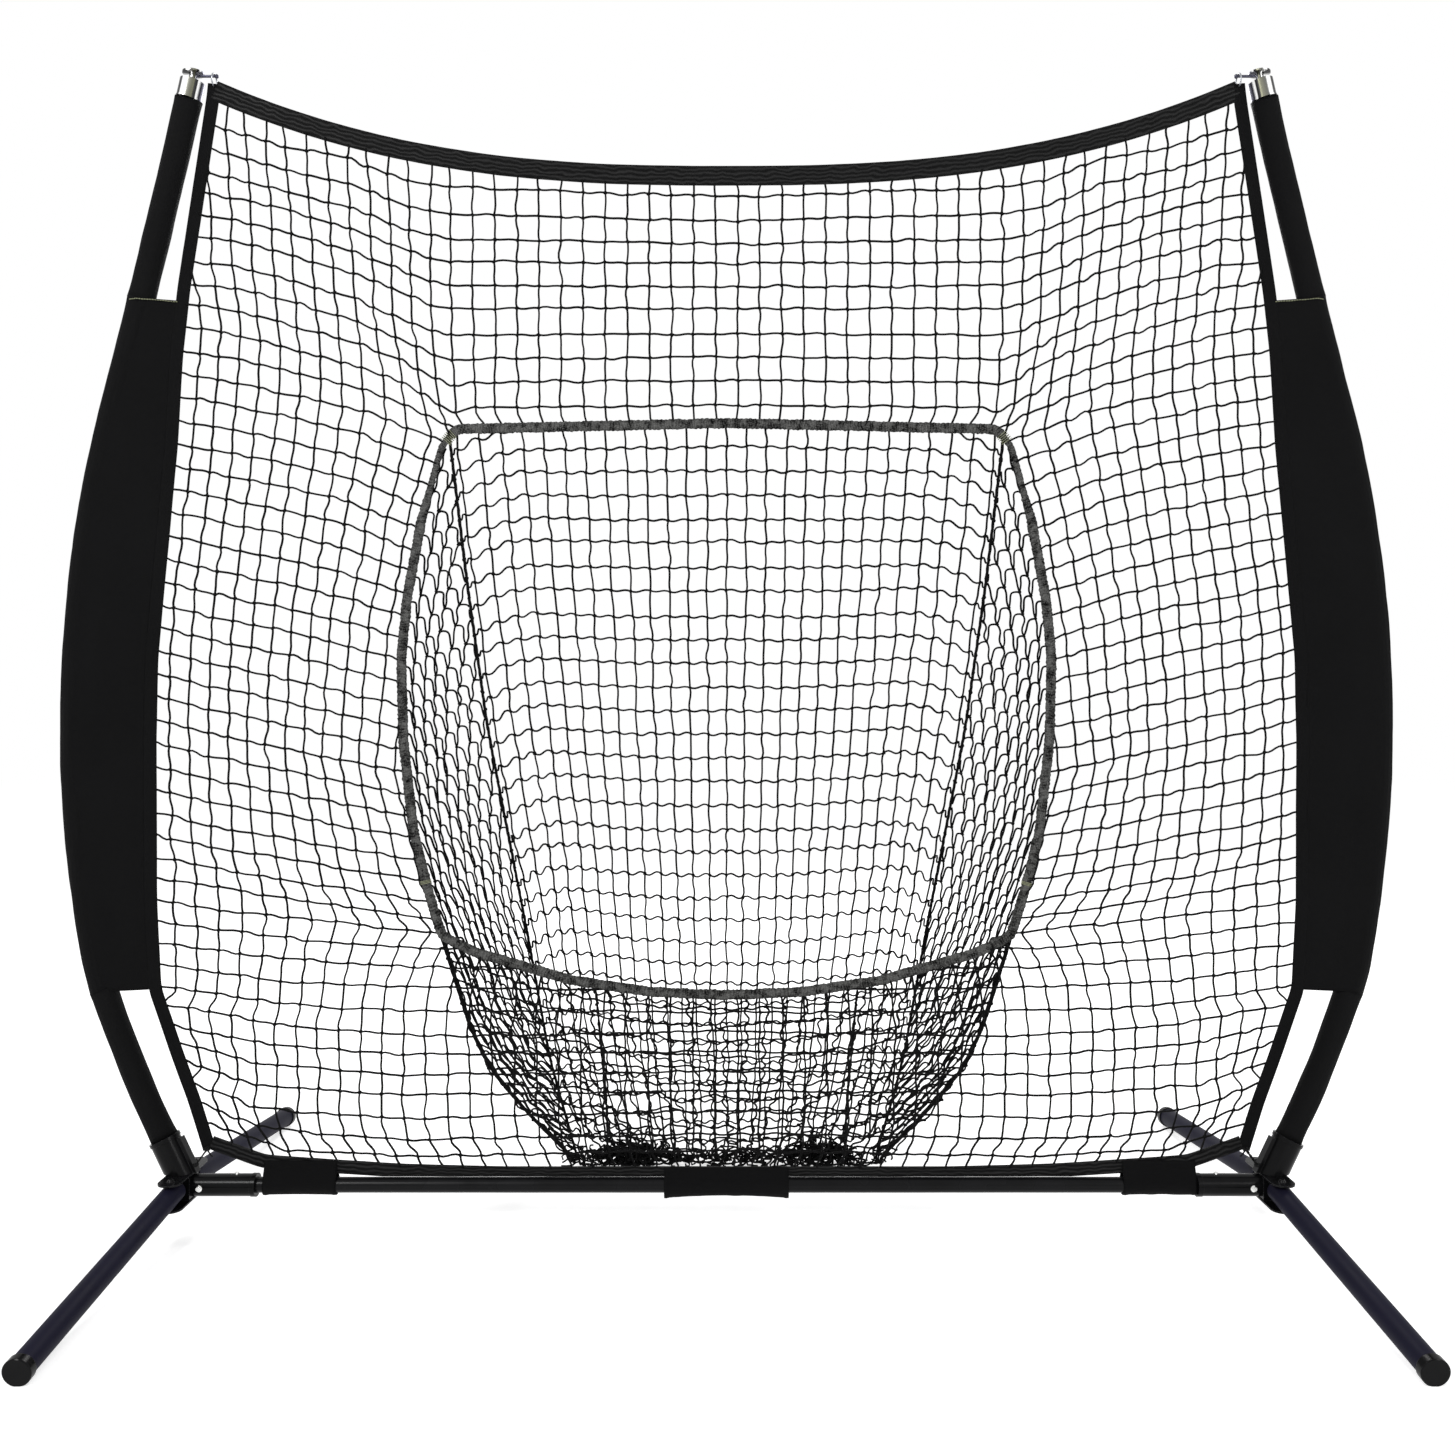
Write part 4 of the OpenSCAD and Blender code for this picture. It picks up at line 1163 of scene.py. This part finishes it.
skirt = {
    "rows": 12, "columns": 28,
    "crumple": (3, 6),  # everywhere, and how much more at the ground
    "drift": (0.014, 9),
    "scatter": (0.75, 0.8, 0.4),  # of the knots, times the crumple
    "bow": 2.4, "sway": (2, 5), "depth": 3.6,
    "smoothRows": 0.45,  # the rows wander less than the columns, by this
    # the slack is drawn together in a tangle along the bottom
    "loops": 440, "half": 320, "behind": (276, 330),
    "low": 17, "high": 38,  # height of the tangle, and where it is thickest
    "lump": (192, 38, 60),  # distance from the middle, spread of its loops, half its width
    "drawn": 0.5,  # share of the loops there
    "step": 8, "steps": (5, 9), "wander": (0.6, 0.4, 0.6),
}


def makePocketSkirt():
    rand = random.Random(pocket["seed"] + 20)
    shape, spots = newShape(), {}
    rows, columns = skirt["rows"], skirt["columns"]
    slack, moreSlack = skirt["crumple"]
    for i in range(rows + 1):
        for j in range(columns + 1):
            u, t = 2 * j / columns - 1, i / rows
            spot = skirtPoint(u, t)
            if i > 0:
                loose = slack + moreSlack * t
                spread = [rand.gauss(0, v) * loose for v in skirt["scatter"]]
                spot += crumple(spot, loose * 1.3, *skirt["drift"]) + Vector(spread)
                keepOffGround(spot)
            spots[j, i] = spot
    for (j, i), spot in spots.items():
        for beside in ((j + 1, i), (j, i + 1)):
            # the first row is the binding itself
            if beside not in spots or beside[1] == 0:
                continue
            smooth = skirt["smoothRows"] if beside[1] == i else 1
            addTwine(shape, rand, wavyPath(
                spot, spots[beside], bow=rand.gauss(0, skirt["bow"]) * smooth,
                sway=rand.choice((-1, 1)) * rand.uniform(*skirt["sway"]) * smooth,
                depth=rand.gauss(0, skirt["depth"]), steps=6,
            ))
        if i > 0:
            addPocketKnot(shape, rand, spot)
    addTangle(shape, rand)
    finishPiece("pocketSkirtNetting", shape, "netTwine", ["pocket_skirt"])
    print("pocket skirt:", len(shape["faces"]), "faces")


def addTangle(shape, rand):
    lump, spread, reach = skirt["lump"]
    ground, (front, back) = pocket["floor"], skirt["behind"]
    for _ in range(skirt["loops"]):
        x = rand.uniform(-1, 1) * skirt["half"]
        if rand.random() < skirt["drawn"]:
            x = rand.choice((-1, 1)) * rand.gauss(lump, spread)
        pull = math.exp(-((abs(x) - lump) / reach) ** 2)
        height = mix(skirt["low"], skirt["high"], pull)
        spot = Vector((x, rand.uniform(front, back), ground + rand.uniform(3, height)))
        path = []
        heading = Vector((rand.gauss(0, 1), rand.gauss(0, 0.5), rand.gauss(0, 0.8))).normalized()
        for _ in range(rand.randint(*skirt["steps"])):
            path.append(spot)
            turn = Vector([rand.gauss(0, v) for v in skirt["wander"]])
            heading = (heading + turn).normalized()
            spot = spot + heading * skirt["step"]
            spot.z = min(max(spot.z, pocket["lowest"]), ground + height + 5)
            spot.y = min(max(spot.y, front), back)
        addTwine(shape, rand, path)


lacing = {
    "twine": 1.9,  # radius
    "twist": 0.1,  # radians in each millimetre
    "uneven": (0.8, 1.25),
    "knot": (5.4, 4.2, 4.2), "knotUneven": (0.8, 1.2), "knotTilt": (0.6, 2.4),
    "step": 9,
    # height of a seam's top, strands, their spread, points from lump to lump
    "backSeam": (1456, 3, 1.5, 4),
    "frontSeam": (536, 3, 1.4, 5),
    # a fold in the back on each side: distance from the middle and height, then as above
    "foldLine": [(279, 365), (268, 200), (249, 30)],
    "fold": (2, 1.4, 5),
    "foldFront": 3,  # how far it stands in front of the back
}


def addLacing(shape, rand, line, strands, spread, lumps):
    # twines twisted together along a line, with a lump wherever a row is tied on
    for strand in range(strands):
        path, travelled = [], 0
        for i, p in enumerate(line):
            travelled += (p - line[i - 1]).length if i else 0
            twist = travelled * lacing["twist"] + strand * 2 * math.pi / strands
            reach = spread * rand.uniform(*lacing["uneven"])
            path.append((p + Vector((math.cos(twist), math.sin(twist), 0)) * reach) * mm)
        addTube(shape, path, lacing["twine"] * mm)
    for p in line[::lumps]:
        size = [v * mm * rand.uniform(*lacing["knotUneven"]) for v in lacing["knot"]]
        addKnot(shape, p * mm, size, rand.uniform(*lacing["knotTilt"]))


def makePocketSeams():
    # the pocket's four pieces are laced together with twisted twine
    rand = random.Random(pocket["seed"] + 40)
    shape = newShape()
    for side in (-1, 1):
        for seam, out in (("backSeam", 0), ("frontSeam", pocket["sideOut"])):
            top, *look = lacing[seam]
            heights = range(top, pocket["lowest"], -lacing["step"])
            reach = [(*seamAt(pocket[seam], z), z) for z in heights]
            line = [Vector((side * (x + out), y, z)) for x, y, z in reach]
            addLacing(shape, rand, line, *look)
        fold = resample([Vector((x, 0, z)) for x, z in lacing["foldLine"]], lacing["step"])
        folded = []
        for p in fold:
            u = p.x / seamAt(pocket["backSeam"], p.z)[0]
            folded.append(backPoint(side * u, p.z) + Vector((0, -lacing["foldFront"], 0)))
        addLacing(shape, rand, folded, *lacing["fold"])
    finishPiece("pocketSeams", shape, "netTwine")


makePocketBack()
makePocketSide(-1)
makePocketSide(1)
makePocketSkirt()
makePocketSeams()

# binding round the mouth

binding = {
    "half": 9.4, "deep": 3.6, "step": 2.4, "sides": 12, "seed": 3,
    "pitch": 8.5, "twist": 0.05,  # length and depth of the turns it is wound in
    "rough": 0.13, "fuzz": 0.12,
    # how much narrower it is just below the upper corners, and the heights where that fades out
    "tight": 0.36, "tightFrom": 1300, "tightTo": 1466,
    # threads wound round it where its ends and corners are fixed: x, z, length along the binding
    "wraps": [(514, 1459, 20), (-514, 1459, 22), (556, 634, 7), (-556, 634, 7)],
    "thread": 0.6, "threadPitch": 3.4, "threadLift": (1.13, 0.03),
}


def makeBinding():
    shape = newShape()
    loop = [Vector((x, 0, z)) for x, z in mouthOutline]
    path = softened(resample(loop + [loop[0]], binding["step"])[:-1], 24, closed=True)
    count, sides = len(path), binding["sides"]
    out = Vector((0, 1, 0))
    rings = []
    for i, point in enumerate(path):
        along = (path[(i + 1) % count] - path[i - 1]).normalized()
        across = along.cross(out).normalized()
        rings.append((point, across, along))
        s = i * binding["step"]
        tight = binding["tight"] * smoothStep((point.z - binding["tightFrom"]) / 70)
        tight *= smoothStep((binding["tightTo"] - point.z) / 8)
        for k in range(sides):
            turn = 2 * math.pi * k / sides
            wrap = math.sin(2 * math.pi * s / binding["pitch"] + turn)
            lump = noise.noise(Vector((point.x * 0.09, turn * 0.8, point.z * 0.09)))
            fuzz = noise.noise(Vector((point.x * 0.45, turn * 2.0, point.z * 0.45)))
            swell = 1 + binding["twist"] * wrap + binding["rough"] * lump
            swell = swell + binding["fuzz"] * fuzz - tight
            spot = point + across * (binding["half"] * swell * math.cos(turn))
            spot += out * (binding["deep"] * swell * math.sin(turn))
            shape["verts"].append(spot * mm)
            shape["uvs"].append((k / sides * 0.05, s * mm))
    for i in range(count):
        a, b = i * sides, (i + 1) % count * sides
        for k in range(sides):
            n = (k + 1) % sides
            shape["faces"].append((a + k, b + k, b + n, a + n))
    finishPiece("mouthBinding", shape, "rimBinding",
                ["rim_top", "rim_left", "rim_right", "rim_bottom"])
    print("binding:", len(shape["faces"]), "faces")
    return rings


def makeBindingWraps(rings):
    rand = random.Random(binding["seed"])
    shape, count = newShape(), len(rings)
    lift, uneven = binding["threadLift"]
    for x, z, length in binding["wraps"]:
        centre = min(range(count), key=lambda i: (rings[i][0] - Vector((x, 0, z))).length)
        half = length / 2 / binding["step"]
        turns = max(3, int(length / binding["threadPitch"]))
        coil = []
        for i in range(turns * 10 + 1):
            t = i / (turns * 10)
            at = centre + (2 * t - 1) * half
            point, across, along = rings[int(at) % count]
            point = point + along * ((at - int(at)) * binding["step"])
            turn = 2 * math.pi * turns * t
            away = lift + uneven * rand.random()
            coil.append((
                point + across * (binding["half"] * away * math.cos(turn))
                + Vector((0, 1, 0)) * (binding["deep"] * (away + 0.1) * math.sin(turn))
            ) * mm)
        addTube(shape, coil, binding["thread"] * mm)
    finishPiece("bindingWraps", shape, "paleTwine")


makeBindingWraps(makeBinding())

# webbing round the net

strapping = {
    "step": 6,
    "across": 22,
    "thick": 2.4,
    # ridges along it, how far they stand out and wander sideways
    "top": {"half": frameLines["topHalf"], "ridges": 5, "relief": 2.6, "wander": 0.42},
    "bottom": {"half": frameLines["bottomHalf"], "ridges": 4, "relief": 2.4, "wander": 0.4},
    "side": {"half": frameLines["sideHalf"], "ridges": 3, "relief": 0.5, "wander": 0.1},
    "ripple": 0.012, "sway": 0.8,
    "rest": 89.8,  # nothing hangs below this height, where it lies on the crossbar
}


def addStrap(shape, line, look, seed):
    # a folded strap with irregular ridges running along it
    path = softened(resample([Vector((x, 0, z)) for x, z in line], strapping["step"]), 6)
    count, wide = len(path), strapping["across"]
    half, ridges = look["half"], look["ridges"]
    out = Vector((0, -1, 0))
    rows, uvs = [], []
    for i, point in enumerate(path):
        along = (path[min(i + 1, count - 1)] - path[max(i - 1, 0)]).normalized()
        across = along.cross(out).normalized()
        s = i * strapping["step"]
        lowest = point.z - abs(across.z) * half
        crowded = max(0, strapping["rest"] - lowest) / (2 * half)
        sway = strapping["sway"] * noise.noise(Vector((s * 0.01, seed, 2)))
        row, uv = [], []
        for k in range(2 * wide):  # over the front, then back behind it
            front = k < wide
            v = (k + 0.5) / wide * 2 - 1 if front else 1 - (k - wide + 0.5) / wide * 2
            edge = math.sqrt(max(0.0, 1 - abs(v) ** 5))
            ridge = 0
            for n in range(ridges):
                centre = (n + 0.5) / ridges * 2 - 1
                centre += look["wander"] * noise.noise(Vector((s * 0.008, n * 7.1, seed)))
                strength = 0.5 + 1.1 * noise.noise(Vector((s * 0.02, n * 3.3, seed + 9)))
                ridge += strength * math.exp(-(((v - centre) * ridges / 0.55) ** 2))
            body = strapping["thick"] / 2 * edge + look["relief"] * 0.55 * max(0, ridge) * edge
            ripple = 1 + strapping["ripple"] * noise.noise(Vector((s * 0.03, v, seed + 4)))
            spot = point + across * (half * v * ripple)
            spot += out * ((body if front else -body) + sway)
            spot.z += crowded * (point.z + half - spot.z)
            row.append(spot * mm)
            uv.append((v * half * mm, s * mm))
        rows.append(row)
        uvs.append(uv)
    start = len(shape["verts"])
    addGrid(shape, rows, uvs, closed=True)
    last = start + (count - 1) * 2 * wide
    for base, flip in ((start, True), (last, False)):
        for k in range(wide - 1):
            quad = (base + k, base + k + 1, base + 2 * wide - 2 - k, base + 2 * wide - 1 - k)
            shape["faces"].append(quad if flip else quad[::-1])


def makeWebbing():
    side, bottom = frameLines["side"], frameLines["bottom"]
    end = frameLines["topEnd"]
    top = [(x, topLine(x)) for x in range(-end, end + 1, 24)]
    pieces = [
        ("topWebbing", top, "top", "webbing", "top_webbing"),
        ("bottomWebbing", mirrored(bottom)[:-1] + bottom, "bottom", "webbing", "bottom_webbing"),
        ("leftWebbing", mirrored(side)[::-1], "side", "panelFabric", "side_webbing_left"),
        ("rightWebbing", side, "side", "panelFabric", "side_webbing_right"),
    ]
    for seed, (name, line, kind, cloth, node) in enumerate(pieces, 1):
        shape = newShape()
        addStrap(shape, line, strapping[kind], seed)
        finishPiece(name, shape, cloth, [node])
    print("webbing made")


makeWebbing()

# poles' sleeves and the side panels

bow = {
    "start": (1010, 97, 25.4),  # x, height and outward lean in degrees at the pole's foot
    "runs": [(80, 0), (300, 7), (50, 8), (1040, 25), (605, -2)],  # length, turn in degrees
}
sleeves = {
    "half": 23, "deep": 15.5, "squareness": (0.86, 0.95),
    "step": 14, "sides": 28,
    "lower": (70, 369), "panel": (367, 1663), "upper": (1661, 2043),  # from and to along the pole
    "hem": 0.9, "hemWidth": 16,
    "wrinkles": (1.1, 0.5),  # broad and fine
    "cloth": 1.4,
}
panels = {
    "from": 368, "to": 1661, "across": 20, "along": 120,
    "over": 18,  # how far it reaches past the pole's middle
    "proud": 17.4,  # how far it stands in front of it
    "round": 25,  # radius of that bend
    "under": 5, "behind": 0.4,  # how far it goes under the webbing, and how far behind its middle
    "pucker": 0.9, "slack": 3,
    "hem": 0.5, "hemWidth": 15,  # the ends stand out a little less
    "cloth": 1.2,
    "stitch": 0.9, "stitchBelow": 2.5, "stitchFront": 1.6,  # below the upper edge, before the cloth
}


def bowAt(s):
    x, z, lean = bow["start"]
    lean = math.radians(lean)
    for span, turn in bow["runs"]:
        last = (span, turn) == bow["runs"][-1]
        part = s if last else min(s, span)
        bend = math.radians(turn) * part / span
        if abs(turn) < 1e-9:
            x, z = x + part * math.sin(lean), z + part * math.cos(lean)
        else:
            radius = span / math.radians(turn)
            x += radius * (math.cos(lean - bend) - math.cos(lean))
            z += radius * (math.sin(lean) - math.sin(lean - bend))
            lean -= bend
        s -= part
        if s <= 0:
            break
    return x, z, lean


def besideBow(side, s, outward, y):
    x, z, lean = bowAt(s)
    return Vector((side * (x + outward * math.cos(lean)), y, z - outward * math.sin(lean)))


def makeSleeve(name, side, kind, node):
    # a fabric tube drawn flat round its pole, with a hem at each end
    low, high = sleeves[kind]
    half, deep, sides = sleeves["half"], sleeves["deep"], sleeves["sides"]
    broad, fine = sleeves["wrinkles"]
    squareX, squareY = sleeves["squareness"]
    shape, rows, uvs = newShape(), [], []
    count = int((high - low) / sleeves["step"])
    for i in range(count + 1):
        s = mix(low, high, i / count)
        hem = sleeves["hem"] * smoothStep((sleeves["hemWidth"] - min(s - low, high - s)) / 6)
        row, uv = [], []
        for k in range(sides):
            turn = 2 * math.pi * k / sides
            cx, cy = math.cos(turn), math.sin(turn)
            across = math.copysign(abs(cx) ** squareX, cx) * half
            out = math.copysign(abs(cy) ** squareY, cy) * deep
            wrinkle = broad * noise.noise(Vector((turn * 1.1, s * 0.011, side * 3.0 + low)))
            wrinkle += fine * noise.noise(Vector((turn * 3.2, s * 0.03, side * 5.0 + low)))
            spread = 1 + (wrinkle + hem) / 20
            row.append(besideBow(side, s, across * spread, out * spread) * mm)
            uv.append((turn * 0.02, s * mm))
        rows.append(row)
        uvs.append(uv)
    addGrid(shape, rows, uvs, closed=True)
    if side < 0:
        shape["faces"] = [f[::-1] for f in shape["faces"]]
    piece = finishPiece(name, shape, "panelFabric", [node])
    thicken(piece, "cloth", sleeves["cloth"], offset=1)


def makePanel(side, name):
    # cloth stretched over the front of the pole's sleeve to the webbing, puckered along its edges
    start, end, over = panels["from"], panels["to"], panels["over"]
    shape, rows, uvs = newShape(), [], []
    for i in range(panels["along"] + 1):
        s = mix(start, end, i / panels["along"])
        middle = besideBow(side, s, 0, 0)
        z = middle.z
        reach = sideX(z) + frameLines["sideHalf"] - panels["under"]
        inner = Vector((side * reach, panels["behind"], z))
        gap = abs(middle.x - inner.x)
        hem = panels["hem"] * smoothStep((panels["hemWidth"] - min(s - start, end - s)) / 5)
        row, uv = [], []
        for j in range(panels["across"] + 1):
            t = j / panels["across"]
            # distance from the pole's middle towards the webbing
            u = mix(-over, gap, t)
            front = -panels["proud"] * math.sqrt(1 - (min(0, u) / panels["round"]) ** 2)
            spot = Vector((middle.x - side * u, mix(front, inner.y, max(0, u) / gap), z))
            fold = math.sin(z * 0.16 + 3 * noise.noise(Vector((z * 0.02, side, 1))))
            pucker = panels["pucker"] + panels["pucker"] * fold
            pucker = pucker * math.exp(-(gap - u) / 22) * smoothStep((gap - u) / 4)
            slack = panels["slack"] * noise.noise(Vector((t * 1.6, z * 0.006, side * 4.0)))
            slack *= math.sin(math.pi * t) ** 2
            spot.y += (pucker + slack) * smoothStep((u - 20) / 25) - hem
            row.append(spot * mm)
            uv.append((spot.x * mm, spot.z * mm))
        rows.append(row)
        uvs.append(uv)
    addGrid(shape, rows, uvs)
    node = f"side_panel_{name}"
    piece = finishPiece(f"{name}Panel", shape, "panelFabric", [node])
    thicken(piece, "cloth", panels["cloth"])
    # a row of pale stitches along the upper hem
    stitches, top = newShape(), rows[-1]
    for a, b in zip(top[1:-1], top[2:]):
        below = -panels["stitchBelow"] + noise.noise(a * 60)
        away = Vector((0, -panels["stitchFront"], below)) * mm
        addTube(stitches, [a + away, a.lerp(b, 0.7) + away], panels["stitch"] * mm)
    finishPiece(f"{name}HemStitches", stitches, "paleTwine")


for side, name in ((-1, "left"), (1, "right")):
    for kind in ("lower", "panel", "upper"):
        makeSleeve(f"{name}{kind.title()}Sleeve", side, kind, f"{kind}_sleeve_{name}")
    makePanel(side, name)
print("sleeves and panels made")

# tape loops on the crossbar and the corner ties

tabs = {
    # left end, right end, top, sag at the ends, sag in the middle
    "spans": {"left": (-855, -720, 120.5, 2.5, 1.5), "middle": (-115, 115, 107.5, 8.5, 3.8),
              "right": (732, 867, 120.5, 2.5, 1.5)},
    "bar": 75,  # height of the crossbar's middle
    "radius": 15.8, "beside": 3.2,  # round the bar, and on each face of the webbing
    "sewn": 12,  # how far down it is sewn on
    "thick": 2.2, "step": 4, "column": 5,
    "wrinkle": 1.2, "edge": 0.8,
}
ties = {
    "seed": 9,
    "from": (959, 143), "to": (980, 114), "front": 5.5,
    "twine": 1.5, "twists": 14,
    "knot": (4.4, 3.4, 4.2), "wraps": (4.6, 4.2),  # radius of the turns round each knot
    "tail": 1.4,
}


def makeTabs():
    # each tab goes round the bar and is sewn to both faces of the webbing
    bar, radius, beside = tabs["bar"], tabs["radius"], tabs["beside"]
    for name, (low, high, top, endSag, midSag) in tabs["spans"].items():
        meets = top - tabs["sewn"]
        touch = math.degrees(math.acos(radius / (meets - bar))) + 2
        line = [(-beside, top), (-beside, meets)]
        for k in range(25):
            turn = math.radians(mix(touch - 90, 270 - touch, k / 24))
            line.append((-radius * math.cos(turn), bar - radius * math.sin(turn)))
        line += [(beside, meets), (beside, top)]
        path = softened(resample(line, tabs["step"]), 2)
        shape, rows, uvs = newShape(), [], []
        steps = int((high - low) / tabs["column"])
        for i in range(steps + 1):
            x = mix(low, high, i / steps)
            edge = tabs["edge"] if min(i, steps - i) == 1 else 0
            sag = mix(midSag, endSag, (2 * i / steps - 1) ** 2)
            row, uv = [], []
            for j, p in enumerate(path):
                below = smoothStep((bar + 4 - p.y) / 18)
                away = Vector((p.x, p.y - bar if p.y < meets else 0)).normalized()
                wrinkle = noise.noise(Vector((x * 0.05, p.x * 0.08, p.y * 0.08)))
                push = max(0.0, tabs["wrinkle"] * wrinkle) + edge
                row.append(Vector((x, p.x + away.x * push, p.y + away.y * push - sag * below)) * mm)
                uv.append((j * tabs["step"] * mm, x * mm))
            rows.append(row)
            uvs.append(uv)
        addGrid(shape, rows, uvs)
        # the three are one node, and the middle one stands for it
        replaced = ["bar_tabs"] if name == "middle" else ()
        piece = finishPiece(f"{name}BarTab", shape, "panelFabric", replaced)
        thicken(piece, "tape", tabs["thick"])


def makeTies():
    # two strands twisted together between two knots, and a loose tail
    shape = newShape()
    rand = random.Random(ties["seed"])
    for side in (-1, 1):
        a, b = (Vector((side * x, -ties["front"], z)) for x, z in (ties["from"], ties["to"]))
        for strand in range(2):
            path = []
            for i in range(25):
                twist = i / 24 * ties["twists"] + strand * math.pi
                cos, sin = math.cos(twist), math.sin(twist)
                path.append((a.lerp(b, i / 24) + Vector((0.9 * cos, 1.4 * sin, 0.9 * cos))) * mm)
            addTube(shape, path, ties["twine"] * mm, 7)
        for knot, size in zip((a, b), ties["wraps"]):
            addKnot(shape, knot * mm, [v * mm for v in ties["knot"]], 0.6, 8)
            for wrap in range(3):
                path = []
                tilt = rand.uniform(-0.5, 0.5) + wrap
                for i in range(13):
                    turn = 2 * math.pi * i / 12
                    lean = 0.5 * math.sin(turn + tilt)
                    spot = Vector((math.cos(turn), 0.75 * math.sin(turn), lean))
                    path.append((knot + spot * (size - wrap * 0.5)) * mm)
                addTube(shape, path, ties["twine"] * mm, 6)
        tail = [Vector((side * -2.0 * i, -0.6 * i, -3.6 * i + 0.25 * i * i)) for i in range(7)]
        addTube(shape, [(a + away) * mm for away in tail], ties["tail"] * mm, 6)
    finishPiece("cornerTies", shape, "webbing", ["corner_ties"])


makeTabs()
makeTies()
print("tabs and ties made")

# finishes of the rigid parts

rigid = {  # how the names of the parts with each finish begin
    "blackSteel": ("crossbar_left", "crossbar_right", "corner_bracket", "tie_hooks", "pivot_bolts"),
    "plainSteel": ("crossbar_coupler", "snap_spring", "pole_ferrules", "corner_rings"),
    "mouldedBlack": ("crossbar_socket", "pole_socket", "foot_cap"),
    "brightMetal": ("snap_button", "socket_bolts"),
    # the pole caps get the chrome with painted reflections in its colour
    "chromeWithPaintedReflections": ("pole_cap",),
    "navySteel": ("leg_",),
    "poleGrey": ("pole_lower", "pole_middle", "pole_upper"),
}
for finish, starts in rigid.items():
    for data in (node.data for name, node in nodes.items() if name.startswith(starts)):
        data.materials.clear()
        data.materials.append(materials[finish])
print("rigid parts finished")
